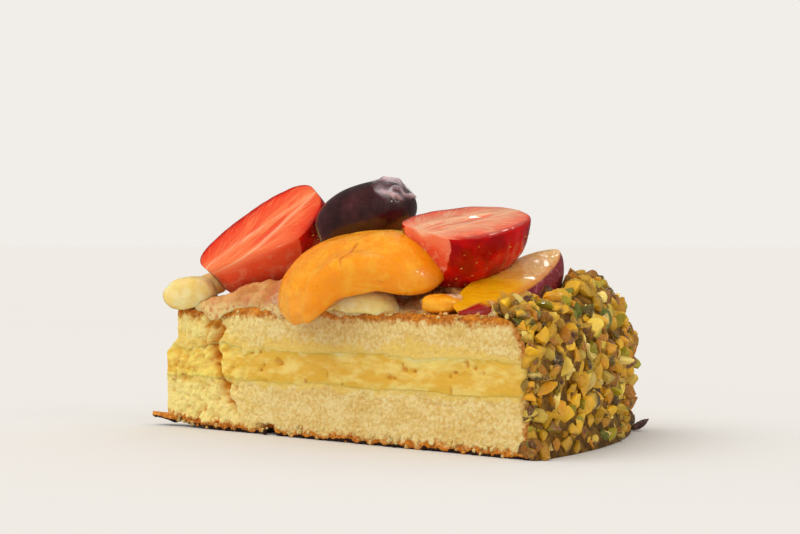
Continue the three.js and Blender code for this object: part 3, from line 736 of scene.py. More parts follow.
def custardRelief(spot, s, near, far):
    # outward relief: broad soft swells and a few curds, flush with the sponge at its edges, and torn near
    # the tip
    cut = np.maximum(near, far)
    torn = near * tornAt(s)
    broad, fine = lumps(spot, 4.2, 17) - 0.7, lumps(spot, 1.7, 19) - 0.7
    hole = smoothStep(roughNoise(spot, 2.6, 24, 2), 0.42, 0.68)
    own = cut * (0.3 * broad + 0.3 * roughNoise(spot, 6, 23) + 0.12 * fine - 0.6 * hole)
    lumpy, gaps = tornLumps(spot)
    crack = near * crackDepth(spot, s)
    relief = calmAtTip(s) * (atSeam(spot, own, cut) + torn * lumpy)
    # painted shade: holes, gaps between torn crumbs and the tear are coloured darker
    pit = 0.7 * hole - 0.25 * broad + 0.8 * torn * gaps + 0.3 * crack
    return relief - crack, {"pit": np.clip(pit, 0, 1), "torn": torn}


def addCustardFilling():
    rows, tones = layerShape(
        cake["lowerTop"], cake["custardTop"], lowerRoof, custardRoof, custardRelief, 36, (0.02, 0.02)
    )
    x, y, z = rows[..., 0], rows[..., 1], rows[..., 2]
    # painted shade along the joint with the lower sponge, where a thin shadowed gap lies
    tones["seamShade"] = (
        bell(z - lowerRoof(x, y) - 0.1, 0.55 + 0.25 * roughNoise(rows, 3, 25))
        * smoothStep(x, 36, 80)
    )
    tones["crumbly"] = smoothStep(z - custardRoof(x, y) + 1.4 * roughNoise(rows, 3, 26), -1.4, 0.6)
    made = Finish(
        "custardCream",
        {
            "Specular IOR Level": 0.35,
            **softFlesh(0.5, (1.0, 0.6, 0.12), 0.003),
        },
    )
    pit, seamShade, crumbly, torn = made.attributes("pit", "seamShade", "crumbly", "torn")
    level = made.layered()
    patch = made.noise(6, 2, 0.5, level)
    curd = made.noise(2.4, 3, 0.6, level)
    fine = made.noise(0.8, 2, 0.5, level)
    color = made.mix(made.between(patch * 0.5 + curd * 0.5, 0.42, 0.62), custard["smooth"], custard["light"])
    color = made.mix(torn * made.between(curd, 0.35, 0.6) * 0.8, color, custard["torn"])
    color = made.mix(0.7 * crumbly * made.between(curd + 0.5 * fine, 0.7, 0.9), color, sponge["pale"])
    # painted shade in the holes, the gaps between crumbs and the tear
    color = made.mix(made.between(pit + 0.3 * (fine - 0.5), 0.2, 1.0), color, custard["deep"])
    # painted shade along the joint with the lower sponge
    color = made.mix(made.between(seamShade * (patch + 0.5 * curd + 0.2), 0.6, 1.2) * 0.5, color, custard["deep"])
    normal = made.bump(0.6 * patch + 0.7 * curd + 0.35 * fine * (crumbly + 0.4), 0.5)
    finish = made.finishWith(color, normal, made.between(fine, 0.3, 0.7, 0.42, 0.62))
    addSkin("custardFilling", rows, finish, ["custard_filling"], tones, cake["sharpEdge"])


addCustardFilling()
print("custard spread")


leftBerry = {
    "length": 40.0, "width": 23.5, "depth": 15.5, "shoulder": 0.15, "point": 0.33, "swell": 4.0,
    "at": (36.9, -4.3, 55.9), "axis": (0.721, 0.276, 0.64), "face": (-0.083, -0.879, 0.472),
    "hullCut": (-0.426, -0.876, 0.225), "hullReach": 5.43, "hullRound": 3.2, "seed": 1,
    "trimmed": 0.0, "light": (255, 132, 78), "flesh": (240, 52, 20), "low": (226, 96, 66),
}
rightBerry = {
    "length": 34.5, "width": 30.5, "depth": 17.8, "shoulder": 0.28, "point": 0.42, "swell": 0.6,
    "at": (102.4, -9.45, 59.9), "axis": (0.53, 0.829, 0.182), "face": (0.119, -0.205, 0.969),
    "hullCut": (-0.962, -0.068, -0.263), "hullReach": 16.1, "hullRound": 1.6, "seed": 5,
    "trimmed": 2.2, "light": (255, 186, 142), "flesh": (250, 84, 46), "low": (236, 78, 50),
}
berryColors = {
    "edge": (176, 8, 6), "core": (255, 194, 152),
    # pip: light golden, partly the pips' own colour and partly a painted highlight on them
    "skin": (212, 3, 4), "skinDark": (160, 1, 4), "pip": (236, 150, 60), "pipDark": (190, 40, 18),
}


def berryHalfWidth(shape, t):
    # t^shoulder (1 - t)^point, over its own greatest value
    shoulder, point = shape["shoulder"], shape["point"]
    peak = shoulder / (shoulder + point)
    return t**shoulder * (1 - t) ** point / (peak**shoulder * (1 - peak) ** point)


def berrySkin(shape, t, turn):
    # the skin is half an ellipse round the axis, turn from pi to 2 pi, at a share t of the length, and swells
    # past the cut on its first side by sin^2
    half = berryHalfWidth(shape, t)
    across = np.cos(turn) * half * shape["width"] / 2
    across = across - shape["swell"] * half * np.sin(turn) ** 2 * np.clip(-np.cos(turn) + 0.35, 0, 1)
    up = np.sin(turn) * half * shape["depth"]
    return np.stack([(t - 0.5) * shape["length"] + 0 * turn, across, up], -1)


def pipField(t, turn):
    # distance in millimetres, roughly, from the nearest pip of a staggered lattice on the skin
    v = t * 9.5
    u = turn / math.pi * 11 + 0.5 * (np.floor(v) % 2)
    return np.hypot((u - np.floor(u) - 0.5) * 3.0, (v - np.floor(v) - 0.5) * 3.8)


def berryFinish(name, shape):
    made = Finish(
        name,
        {
            "Specular IOR Level": 0.2,
            **softFlesh(0.18, (1.0, 0.22, 0.12), 0.002),
            "Coat Roughness": 0.05,
        },
    )
    face, along, across, wide, sliced = made.attributes("face", "along", "across", "wide", "sliced")
    fan = made.vector((along - 0.4 * wide) * 42.0, wide * 2.6, across * 0.5)
    fibre = made.noise(1000, 4, 0.6, fan)
    lengthways = made.noise(1000, 4, 0.6, made.vector(along * 2.6, across * 11.0 * (1.25 - along), 0.3))
    cloud, patch, fine = made.noise(7, 2), made.noise(2.4, 3), made.noise(0.9, 2)
    away = made.node("ShaderNodeMath", {"operation": "ABSOLUTE"}, {0: wide - 0.34 * (1.12 - along)})
    vein = made.between(away, 0.0, 0.11, 1.0, 0.0)
    lower = made.between(wide + 0.5 * (patch - 0.5) + 0.3 * (cloud - 0.5), 0.9, 1.35) * sliced
    body = made.between(wide * (1 - 0.4 * sliced) + 0.3 * (fibre - 0.5) + 0.3 * (cloud - 0.5), 0.1, 0.9)
    color = made.mix(body, shape["light"], shape["flesh"])
    color = made.mix(
        made.between(fibre + 0.4 * (cloud - 0.5), 0.5, 0.62) * (0.75 - 0.7 * sliced), color, shape["light"]
    )
    color = made.mix(
        made.between(lengthways, 0.5, 0.6) * (1 - body) * (0.7 - 0.5 * sliced), color, shape["flesh"]
    )
    pale = 1 - made.between(sliced * wide, 0.8, 1.2)
    color = made.mix(
        made.between(lengthways, 0.3, 0.42, 1.0, 0.0) * (1 - 0.7 * body) * pale, color, berryColors["core"]
    )
    color = made.mix(
        vein * made.between(lengthways + 0.3 * fibre, 0.5, 0.8) * 0.8 * pale, color, berryColors["core"]
    )
    color = made.mix(lower * 0.9, color, shape["low"])
    color = made.mix(made.between(patch + 0.3 * fine, 0.62, 0.84) * lower * 0.45, color, berryColors["core"])
    edge = made.between(wide + 0.16 * (fibre - 0.5) + 0.14 * (patch - 0.5), 0.78, 0.97) * (1 - sliced)
    color = made.mix(edge * 0.9, color, berryColors["edge"])
    skin = made.mix(made.between(cloud, 0.35, 0.65), berryColors["skin"], berryColors["skinDark"])
    color = made.mix(made.between(face + 0.25 * (patch - 0.5), 0.35, 0.65), skin, color)
    made.feed(made.shader.inputs["Coat Weight"], made.between(face, 0.2, 0.8, 0.3, 0.6))
    height = (
        face * (1 - 0.85 * sliced) * (0.7 * fibre + 0.6 * lengthways)
        + (1 - face * (1 - 0.6 * sliced)) * patch
        + 0.4 * fine
    )
    return made.finishWith(color, made.bump(height, 0.35), made.between(face, 0.2, 0.8, 0.14, 0.3))


def addBerry(name, node, shape):
    # the skin's half rings closed by a cut face that bulges as a half circle, with two shallow grooves beside
    # its core; the hulled end is pressed flat against a slanting plane
    t = (0.5 - 0.5 * np.cos(math.pi * np.linspace(0.045, 0.955, 130)))[:, None]
    skinTurn = np.linspace(math.pi, 2 * math.pi, 110)[None]
    skin = berrySkin(shape, t, skinTurn)
    outward = unitRows(
        np.stack([0 * skin[..., 1], skin[..., 1] / shape["width"], skin[..., 2] / shape["depth"]], -1)
    )
    dimple = 0.4 * bell(pipField(t, skinTurn), 0.85) * smoothStep(np.abs(np.sin(skinTurn)), 0.05, 0.25)
    skin = skin + outward * (0.25 * roughNoise(skin, 3.2, 62) - dimple)[..., None]
    across = np.linspace(1, -1, 92)[None, 1:-1]
    half = berryHalfWidth(shape, t)
    bulge = 0.8 * np.sqrt(1 - across**2) * np.minimum(1, half)
    groove = 0.12 * bell(np.abs(across) - 0.34 * (1.12 - t), 0.06)
    hollow = 0.3 * bell(across, 0.09) * smoothStep(t, 0.25, 0.5) * (1 - smoothStep(t, 0.6, 0.8))
    lengthwise, sideways = (t - 0.5) * shape["length"] + 0 * across, across * half * shape["width"] / 2
    cutFace = np.stack([lengthwise, sideways, bulge + groove - hollow], -1)
    cutFace[..., 2] += 0.22 * roughNoise(cutFace, 4.5, 63)
    rows = np.concatenate([skin, cutFace], 1)
    face = np.concatenate([np.zeros(110), np.ones(90)])[None] + 0 * t
    for _ in range(3):  # rounds the rim where the cut meets the skin
        rows = 0.5 * rows + 0.25 * (np.roll(rows, 1, 1) + np.roll(rows, -1, 1))
        face = 0.5 * face + 0.25 * (np.roll(face, 1, 1) + np.roll(face, -1, 1))
    wide = np.concatenate([np.cos(skinTurn), across], 1) + 0 * t
    outline = 1 + 0.035 * roughNoise(rows * [1, 0.4, 0.4] + 40 * shape["seed"], 7, shape["seed"])
    rows[..., 1:] *= outline[..., None]
    normal = unitRows(np.array(shape["hullCut"], float))
    past = rows @ normal - shape["hullReach"]
    beyond = 0.5 * (past + np.hypot(past, shape["hullRound"])) - 0.02  # a rounded step from 0 to past
    rows = rows - (beyond * 0.94)[..., None] * normal
    sliced = smoothStep(past, -4.5, 0.0)
    # 0 to 1 on the face, on to 2 round the skin
    fromCore = np.abs(wide) + (2 - 2 * np.abs(wide)) * (np.arange(200) < 110)
    showing = past + shape["trimmed"] * (bell(rows[..., 2], 6) - 0.6)  # more of the flesh shows by the rim
    tones = {"face": np.maximum(face, smoothStep(showing, 0.1, 0.7)), "along": t + 0 * wide, "across": wide}
    tones.update({"wide": fromCore, "sliced": sliced})
    rows = placed(rows, shape["at"], shape["axis"], shape["face"])
    addSkin(name, rows, berryFinish(name + "Flesh", shape), [node], tones)


def ballOf(subdivisions):
    # a round ball of near-equal triangles, as points and faces
    work = bmesh.new()
    bmesh.ops.create_icosphere(work, subdivisions=subdivisions, radius=1)
    points = np.array([v.co[:] for v in work.verts])
    faces = np.array([[v.index for v in f.verts] for f in work.faces])
    work.free()
    return points, faces


def addBerryPips():
    # pips on the skins: small flattened balls, set where the lattice of dimples has its middles
    ball, faces = ballOf(1)
    blocks = []
    for shape in (leftBerry, rightBerry):
        row, column = np.meshgrid(np.arange(1, 9), np.arange(11, 22), indexing="ij")
        t = (row + 0.5) / 9.5
        turn = (column + 0.5 - 0.5 * (row % 2)) / 11 * math.pi
        keep = (np.abs(np.sin(turn)) > 0.12) & (turn < 2 * math.pi) & (t < 0.93)
        t, turn = t[keep], turn[keep]
        place = berrySkin(shape, t, turn)
        normal = unitRows(
            np.stack([0 * t, place[..., 1] / shape["width"], place[..., 2] / shape["depth"]], -1)
        )
        kept = place @ unitRows(np.array(shape["hullCut"], float)) < shape["hullReach"] - 0.5
        place = place - 0.3 * normal
        size = np.array([0.48, 0.3, 0.2])
        along = unitRows(np.cross(normal, np.array([0.0, 1.0, 0.02])))
        side = np.cross(normal, along)
        pips = ball[None] * size
        pips = (
            pips[..., 0:1] * along[:, None]
            + pips[..., 1:2] * side[:, None]
            + pips[..., 2:3] * normal[:, None]
        )
        pips = (pips + place[:, None])[kept]
        blocks.append(placed(pips.reshape(-1, 3), shape["at"], shape["axis"], shape["face"]))
    points = np.concatenate(blocks)
    count = len(points) // len(ball)
    index = repeated(faces, count, len(ball))
    made = Finish("berryPip", {"Roughness": 0.3, "Coat Weight": 0.6})
    # pips painted light golden, partly their own colour and partly a painted highlight
    color = made.mix(made.between(made.noise(5, 2), 0.4, 0.6), berryColors["pip"], berryColors["pipDark"])
    addPiece("berryPips", points, [index], made.finishWith(color))


addBerry("strawberryLeft", "strawberry_left", leftBerry)
addBerry("strawberryRight", "strawberry_right", rightBerry)
addBerryPips()
print("strawberries halved")


grape = {
    "length": 30.5, "thickness": 17.8, "bend": 0.8,
    "at": (65.8, 3.3, 61.4), "axis": (0.79, 0.5, 0.32), "face": (-0.25, -0.1, 1),
    # mauve: lighter patches, partly the grape's own mottling and partly a painted soft sheen
    "dark": (44, 8, 12), "bloom": (76, 26, 30), "mauve": (104, 52, 58), "scar": (146, 138, 96), "stalkPit": (70, 52, 34),
}


def grapeSurface(t, turn):
    # a long ball: the radius follows (1 - |2t - 1|^2.3)^0.5, and its middle is bent upwards
    half = grape["thickness"] / 2 * (1 - np.abs(2 * t - 1) ** 2.3) ** 0.5
    lift = grape["bend"] * (1 - (2 * t - 1) ** 2)
    return np.stack(
        [(t - 0.5) * grape["length"] + 0 * turn, np.cos(turn) * half, np.sin(turn) * half + lift], -1
    )


def addGrape():
    # the long ball with a dimple at the stalk's end and slow unevenness
    t = (0.5 - 0.5 * np.cos(math.pi * np.linspace(0.02, 0.98, 110)))[:, None]
    turn = np.linspace(0, 2 * math.pi, 140, endpoint=False)[None]
    rows = grapeSurface(t, turn)
    outward = unitRows(rows - rows.mean(1, keepdims=True))
    rows = rows + outward * (0.16 * roughNoise(rows, 6, 73))[..., None]
    rows[..., 0] += 1.2 * (1 - smoothStep(t, 0.008, 0.03)) * np.ones_like(turn)
    tones = {"along": t + 0 * turn}
    rows = placed(rows, grape["at"], grape["axis"], grape["face"])
    made = Finish(
        "grapeSkin",
        {
            "Specular IOR Level": 0.55,
            "Coat Weight": 0.7,
            "Coat Roughness": 0.08,
            **softFlesh(0.05, (1.0, 0.2, 0.2), 0.001),
        },
    )
    patch, cloud, fine = made.noise(3.2, 3, 0.55), made.noise(8, 3, 0.6), made.noise(0.8, 2)
    color = made.mix(made.between(0.3 * patch + 0.8 * cloud, 0.42, 0.7), grape["dark"], grape["bloom"])
    # lighter mauve patches: partly the grape's mottling, partly painted sheen
    color = made.mix(made.between(0.3 * patch + 0.8 * cloud, 0.6, 0.76) * 0.6, color, grape["mauve"])
    end = made.attribute("along") + 0.012 * (patch - 0.5)
    color = made.mix(made.between(end, 0.018, 0.032, 1.0, 0.0) * 0.9, color, grape["scar"])
    color = made.mix(made.between(end, 0.004, 0.012, 1.0, 0.0) * 0.8, color, grape["stalkPit"])
    finish = made.finishWith(
        color, made.bump(patch + 0.3 * fine, 0.12), made.between(patch, 0.3, 0.7, 0.24, 0.45)
    )
    addSkin("blackGrape", rows, finish, ["black_grape"], tones)


def glazeFinish(name, colors, see, thickness=None):
    # set jelly: partly see-through, by a cloud or by the piece's own thickness, with a hard wet gloss; it is
    # paler where denser, which on the grape's film is a painted highlight along the ridges
    made = Finish(
        name,
        {
            "Specular IOR Level": 0.8,
            "Coat Weight": 1.0,
            "Coat Roughness": 0.03,
            "Subsurface Weight": 0.3,
            "Subsurface Scale": 0.002,
        },
    )
    cloud, fine = made.noise(3, 3), made.noise(1.0, 2)
    dense = made.attribute(thickness) if thickness else made.between(0.7 * cloud + 0.3 * fine, 0.36, 0.64)
    color = made.mix(made.between(cloud, 0.4, 0.62) * 0.4 + dense * 0.6, colors[0], colors[1])
    made.feed(made.shader.inputs["Alpha"], made.between(dense, 0.0, 1.0, see[0], see[1]))
    return made.finishWith(color, made.bump(cloud + 0.4 * fine, 0.4), made.between(fine, 0.3, 0.7, 0.06, 0.2))


def addGrapeGlaze():
    # a crumpled film over the far end: an outer arc raised along sharp ridges and an inner arc just above the
    # skin, joined into rings and carried along the grape
    share = np.linspace(0.6, 0.985, 90)[:, None]
    sweep = np.linspace(-0.05, 1.05, 120)[None]
    wander = 0.09 * roughNoise(flatSpots(sweep * 9, 0 * sweep, 3), 2.2, 74)
    turn = math.pi * (0.12 + 0.86 * sweep)
    base = grapeSurface(np.clip(share + wander * smoothStep(1 - share, 0.1, 0.4), 0.5, 0.99), turn)
    outward = unitRows(
        base - np.array([0, 0, grape["bend"]]) - base.mean(1, keepdims=True) * [1, 0, 0] + [1e-3, 0, 0]
    )
    outward = unitRows(outward + np.array([0.5, 0, 0]) * smoothStep(share, 0.8, 0.98)[..., None])
    border = (
        smoothStep(sweep, -0.05, 0.12)
        * (1 - smoothStep(sweep, 0.88, 1.05))
        * smoothStep(share, 0.6, 0.7)
    )
    ridge = (
        np.exp(-((np.abs(softNoise(base, 5.5, 75)) / 0.2) ** 1.4))
        + 0.4 * np.exp(-((np.abs(softNoise(base, 3.2, 76)) / 0.2) ** 2))
    )
    raised = (
        border * (0.3 + 1.3 * ridge * smoothStep(share, 0.66, 0.84) + 0.2 * roughNoise(base, 4, 77))
        + 0.1
    )
    # painted highlight: the film is paler and less see-through along its ridges
    clear = np.clip(border * (0.25 + 0.85 * ridge) + 0.2 * (raised - 0.5), 0, 1)
    outer = base + outward * np.maximum(raised, 0.1)[..., None]
    inner = base + outward * 0.04
    rows = np.concatenate([outer, inner[:, ::-1]], 1)
    rows = placed(rows, grape["at"], grape["axis"], grape["face"])
    film = glazeFinish("grapeFilm", ((116, 68, 80), (224, 206, 212)), (0.0, 0.95), "ridge")
    addSkin(
        "grapeGlaze", rows, film, (), {"ridge": np.concatenate([clear, clear[:, ::-1]], 1)}
    )


clearGlaze = glazeFinish("clearGlaze", ((246, 204, 156), (252, 226, 190)), (0.2, 0.55))
addGrape()
addGrapeGlaze()
print("grape laid")


apricotFront = {
    "length": 51.0, "width": 39.0, "height": 15.0,
    "arch": 6.2, "archAt": (-0.66, 0.0, 0.45, 1.0), "drawnIn": 0.25,
    "at": (74, -16.5, 41.4), "axis": (0.965, 0.03, 0.15), "face": (-0.02, -0.5, 0.86),
}
apricotBack = {
    "length": 44.0, "width": 34.0, "height": 14.0,
    "arch": 2.0, "archAt": (-0.8, -0.3, 0.1, 0.6), "drawnIn": 0.1,
    "at": (79, 14.5, 42.6), "axis": (-0.97, -0.1, 0.02), "face": (0.03, 0.42, 0.9),
}
apricotColors = {
    "ripe": (254, 154, 4), "pale": (255, 178, 36), "flesh": (252, 170, 56),
    # under: painted shade, on the underside and in the hollow of the stone
    "under": (206, 92, 2), "speck": (190, 82, 8),
}


def addApricot(name, node, shape, finish):
    # a dome over an oval: rings at shares of the oval and of the height, smoothed between a few named rings,
    # over the crown, round the edge and up into the hollow of the stone
    shares = [0.04, 0.25, 0.5, 0.72, 0.88, 0.97, 1.0, 0.96, 0.78, 0.5, 0.36, 0.18, 0.03]
    levels = [1.0, 0.97, 0.88, 0.72, 0.5, 0.27, 0.1, 0.0, 0.03, 0.06, 0.24, 0.34, 0.38]
    at = np.linspace(0, len(shares) - 1, 150)
    share, level = np.interp(at, range(len(shares)), shares), np.interp(at, range(len(levels)), levels)
    for _ in range(14):
        share[1:-1] = 0.5 * share[1:-1] + 0.25 * (share[:-2] + share[2:])
        level[1:-1] = 0.5 * level[1:-1] + 0.25 * (level[:-2] + level[2:])
    share, level = share[:, None], level[:, None]
    turn = np.linspace(0, 2 * math.pi, 220, endpoint=False)[None]
    rise, top, fall, end = shape["archAt"]  # along the length, where the hollow under the front edge lies
    front = (
        np.maximum(0, -np.sin(turn)) ** 0.7
        * smoothStep(np.cos(turn), rise, top)
        * (1 - smoothStep(np.cos(turn), fall, end))
    )
    arched = front * smoothStep(share, 0.1, 1.05)
    out = share / 2 * (1 + 0.03 * np.sin(3 * turn + 0.6)) * (1 - shape["drawnIn"] * arched)
    rows = np.stack([
        np.cos(turn) * out * shape["length"],
        np.sin(turn) * out * shape["width"],
        level * shape["height"] + shape["arch"] * arched,
    ], -1)
    outward = unitRows(rows - np.array([0, 0, 4.0]))
    lobe = bell(turn - 4.0, 0.4) * smoothStep(share, 0.6, 0.98)  # the loose flap of flesh at the left
    folds = (
        lobe
        * (1.5 * roughNoise(rows, 4.5, 83) + 0.9 * bell(turn - 4.25, 0.05) - 0.7 * bell(turn - 4.1, 0.06))
    )
    crack = bell(rows[..., 0] - 1.5 * softNoise(rows, 5, 84) - 2.5, 0.35) * smoothStep(rows[..., 1], -14, -10)
    crack = crack * (1 - smoothStep(rows[..., 1], -3, 2)) * (level > 0.3)
    soft = 0.4 * roughNoise(rows, 13, 81) + 0.16 * roughNoise(rows, 3.5, 82) + folds - 0.35 * crack
    rows = rows + outward * soft[..., None]
    tones = {
        # where the painted shade goes: round the underside and up into the hollow of the stone
        "under": smoothStep(at[:, None] + 0 * turn, 6.3, 7.6),
        "frayed": np.clip(lobe, 0, 1),
        "crack": crack,
    }
    rows = placed(rows, shape["at"], shape["axis"], shape["face"])
    addSkin(name, rows, finish, [node], tones)


def apricotFinish(name):
    made = Finish(
        name,
        {
            "Specular IOR Level": 0.4,
            "Coat Weight": 0.4,
            "Coat Roughness": 0.06,
            **softFlesh(0.3, (1.0, 0.38, 0.04), 0.0025),
        },
    )
    cloud, patch, fine = made.noise(9, 4, 0.65, distortion=0.8), made.noise(2.2, 3), made.noise(0.7, 2)
    color = made.mix(
        made.between(0.8 * cloud + 0.2 * patch, 0.44, 0.64), apricotColors["ripe"], apricotColors["pale"]
    )
    frayed = made.attribute("frayed")
    color = made.mix(
        made.between(frayed + 0.7 * (patch - 0.5), 0.3, 0.9) * 0.75, color, apricotColors["flesh"]
    )
    speck = made.between(made.noise(0.9, 1), 0.68, 0.75)
    color = made.mix(speck * 0.45, color, apricotColors["speck"])
    # painted shade on the underside and in the hollow of the stone
    color = made.mix(made.attribute("under") * 0.85, color, apricotColors["under"])
    color = made.mix(made.attribute("crack") * 0.7, color, apricotColors["speck"])
    normal = made.bump(cloud + 0.3 * patch + 0.1 * fine, 0.6)
    return made.finishWith(color, normal, made.between(0.6 * patch + 0.4 * fine, 0.35, 0.65, 0.2, 0.42))


apricotFlesh = apricotFinish("apricotFlesh")
addApricot("apricotFront", "apricot_front", apricotFront, apricotFlesh)
addApricot("apricotBack", "apricot_back", apricotBack, apricotFlesh)
print("apricots laid")


nectarine = {
    "length": 49.0, "depth": 20.0, "thickness": 12.0,
    "at": (114.9, -12.6, 44.4), "axis": (0.25, 0.908, 0.32), "face": (0.162, -0.379, 0.911),
    "flesh": (242, 174, 6), "deep": (210, 118, 4), "far": (238, 188, 112),
    "skin": (128, 22, 34), "bloom": (186, 90, 104), "bright": (168, 20, 8), "nextToSkin": (206, 84, 20),
}


def roundedSection(corners, count, passes):
    # a closed polygon resampled evenly along its length, with its corners smoothed
    closed = np.concatenate([corners, corners[:1]])
    length = np.concatenate([[0], np.cumsum(np.linalg.norm(np.diff(closed, axis=0), axis=1))])
    at = np.linspace(0, length[-1], count, endpoint=False)
    section = np.stack([np.interp(at, length, closed[:, k]) for k in range(2)], -1)
    for _ in range(passes):
        section = 0.5 * section + 0.25 * (np.roll(section, 1, 0) + np.roll(section, -1, 0))
    return section


def addNectarine():
    # a wedge whose section of two flat cuts and a band of skin is carried along X, and shrinks as sin^0.55
    d, h = nectarine["depth"], nectarine["thickness"]
    corners = np.array([
        [-0.5 * d + 1.4, -0.6], [-0.2 * d, 0.1], [0.1 * d, 0.15], [0.29 * d, 0.0],
        [0.38 * d, -0.12 * h], [0.47 * d, -0.32 * h], [0.5 * d, -0.6 * h], [0.43 * d, -0.88 * h],
        [0.28 * d, -1.0 * h], [-0.1 * d, -0.5 * h - 0.4],
    ])
    section = roundedSection(corners, 160, 3)
    t = (0.5 - 0.5 * np.cos(math.pi * np.linspace(0.03, 0.97, 140)))[:, None]
    size = np.sin(math.pi * t) ** 0.55
    y, z = section[None, :, 0], section[None, :, 1]
    rows = np.stack([(t - 0.5) * nectarine["length"] + 0 * y, -y * size, z * size], -1)
    skin = smoothStep(y, 0.3 * d, 0.34 * d) * smoothStep(-z, 0.3, 0.8) + 0 * t
    skin = np.maximum(skin, smoothStep(-z, 0.66 * h, 0.72 * h) * smoothStep(y, 0.2 * d, 0.3 * d))
    # the red near end
    skin = np.maximum(skin, smoothStep(y, 0.1 * d, 0.16 * d) * (1 - smoothStep(t, 0.13, 0.18)))
    flesh = 1 - skin
    rows[..., 2] += flesh * (0.35 * roughNoise(rows, 6, 92) + 0.1 * roughNoise(rows, 1.8, 93))
    tones = {"skin": skin, "along": t + 0 * skin, "across": y / d + 0 * t}
    rows = placed(rows, nectarine["at"], nectarine["axis"], nectarine["face"])
    made = Finish(
        "nectarineFlesh",
        {
            "Specular IOR Level": 0.5,
            "Coat Weight": 0.6,
            "Coat Roughness": 0.07,
            **softFlesh(0.25, (1.0, 0.45, 0.05), 0.0025),
        },
    )
    along, across, skinMask = made.attributes("along", "across", "skin")
    fan = made.vector((along - 0.25 * across) * 30.0, across * 3.0, 0.5)
    streak = made.noise(1000, 4, 0.6, fan)
    cloud, patch, fine = made.noise(7, 3), made.noise(1.6, 3), made.noise(0.6, 2)
    far = made.between(along + 0.3 * (cloud - 0.5) + 0.12 * (streak - 0.5), 0.42, 0.72)
    color = made.mix(far, nectarine["flesh"], nectarine["far"])
    color = made.mix(made.between(streak + 0.3 * (cloud - 0.5), 0.5, 0.72) * 0.45, color, nectarine["deep"])
    color = made.mix(made.between(across, 0.2, 0.3) * 0.4, color, nectarine["nextToSkin"])
    speckled = made.between(0.6 * patch + 0.5 * fine, 0.58, 0.74)
    skinColor = made.mix(speckled, nectarine["skin"], nectarine["bloom"])
    skinColor = made.mix(made.between(along, 0.12, 0.26, 1.0, 0.0), skinColor, nectarine["bright"])
    color = made.mix(skinMask, color, skinColor)
    height = streak * 0.5 + patch * 0.5 + fine * 0.2
    finish = made.finishWith(color, made.bump(height, 0.3), made.between(patch, 0.3, 0.7, 0.2, 0.4))
    addSkin("nectarineWedge", rows, finish, ["nectarine_wedge"], tones)


addNectarine()
print("nectarine laid")


chunks = {
    "pearTip": {
        "node": "pear_tip", "size": (16, 11.5, 9.6), "seed": 0, "droop": 0.0,
        "at": (11.4, -1.9, 39.4), "axis": (0.95, 0.2, 0.17), "face": (-0.1, 0, 1),
    },
    "pearFront": {
        "node": "pear_front", "size": (23, 11, 6.5), "seed": 2, "droop": 5.2,
        "at": (76.3, -21.6, 38.8), "axis": (0.95, -0.3, 0.04), "face": (0, -0.25, 1),
    },
    "apricotPiece": {
        "node": "apricot_piece", "size": (11, 8, 5), "seed": 4, "droop": 0.0,
        "at": (101.5, -28.2, 38.2), "axis": (0.95, -0.3, 0), "face": (0, -0.1, 1),
    },
    "peachBit": {
        "node": None, "size": (8.5, 7, 6.5), "seed": 6, "droop": 0.0,
        "at": (17.2, 1.6, 42.2), "axis": (0.8, 0.4, 0.3), "face": (-0.2, 0, 1),
    },
    "pearSlip": {
        "node": None, "size": (15, 7.5, 5.5), "seed": 8, "droop": 0.0,
        "at": (63.5, -19.3, 38.4), "axis": (0.95, -0.32, 0.02), "face": (0, -0.3, 1),
    },
}


def chunkRows(shape, rowCount=70, around=100):
    # between a ball and a block: each direction's sign and its size to the power 0.75, a little uneven; the
    # end may droop, by the cube of how far along it is
    polar = np.linspace(0.02, math.pi - 0.02, rowCount)[:, None]
    turn = np.linspace(0, 2 * math.pi, around, endpoint=False)[None]
    ball = np.stack(
        [np.cos(polar) + 0 * turn, np.sin(polar) * np.cos(turn), np.sin(polar) * np.sin(turn)], -1
    )
    swell = 1 + 0.07 * unevenness(ball[..., 0] + shape["seed"], ball[..., 1], ball[..., 2], 1.7)
    swell = swell + 0.1 * roughNoise(ball + 7.0 * shape["seed"], 0.8, 95)
    rows = np.sign(ball) * np.abs(ball) ** 0.75 * swell[..., None] * np.array(shape["size"]) / 2
    along = np.clip(rows[..., 0] / shape["size"][0] * 2, 0, 1)
    rows[..., 2] -= shape["droop"] * along**3
    rows[..., 1] *= 1 - 0.45 * along**2 * (shape["droop"] > 0)
    return placed(rows, shape["at"], shape["axis"], shape["face"])


def fruitFinish(name, light, dark, warm):
    # soft clouded flesh under a thin wet film
    made = Finish(
        name,
        {
            "Specular IOR Level": 0.35,
            "Coat Weight": 0.25,
            "Coat Roughness": 0.08,
            **softFlesh(0.6, (1.0, 0.7, 0.3), 0.003),
        },
    )
    cloud, patch, fine = made.noise(5, 3, 0.6), made.noise(1.5, 3), made.noise(0.6, 2)
    color = made.mix(made.between(cloud, 0.4, 0.62), light, dark)
    color = made.mix(made.between(made.noise(9, 2), 0.5, 0.66) * 0.6, color, warm)
    normal = made.bump(cloud + 0.35 * patch + 0.15 * fine, 0.55)
    return made.finishWith(color, normal, made.between(patch, 0.3, 0.7, 0.22, 0.42))


pearFlesh = fruitFinish("pearFlesh", (250, 234, 172), (242, 216, 132), (238, 202, 110))
peachFlesh = fruitFinish("peachFlesh", (240, 200, 128), (236, 176, 88), (244, 160, 60))
for name, shape in chunks.items():
    rows = chunkRows(shape)
    if name == "apricotPiece":
        plain = np.zeros(rows.shape[:2])
        addSkin(
            name,
            rows,
            apricotFlesh,
            [shape["node"]],
            {"under": plain, "frayed": plain, "crack": plain},
        )
    elif name == "peachBit":
        addSkin(name, rows, peachFlesh)
    else:
        addSkin(name, rows, pearFlesh, [shape["node"]] if shape["node"] else ())
print("small fruit laid")


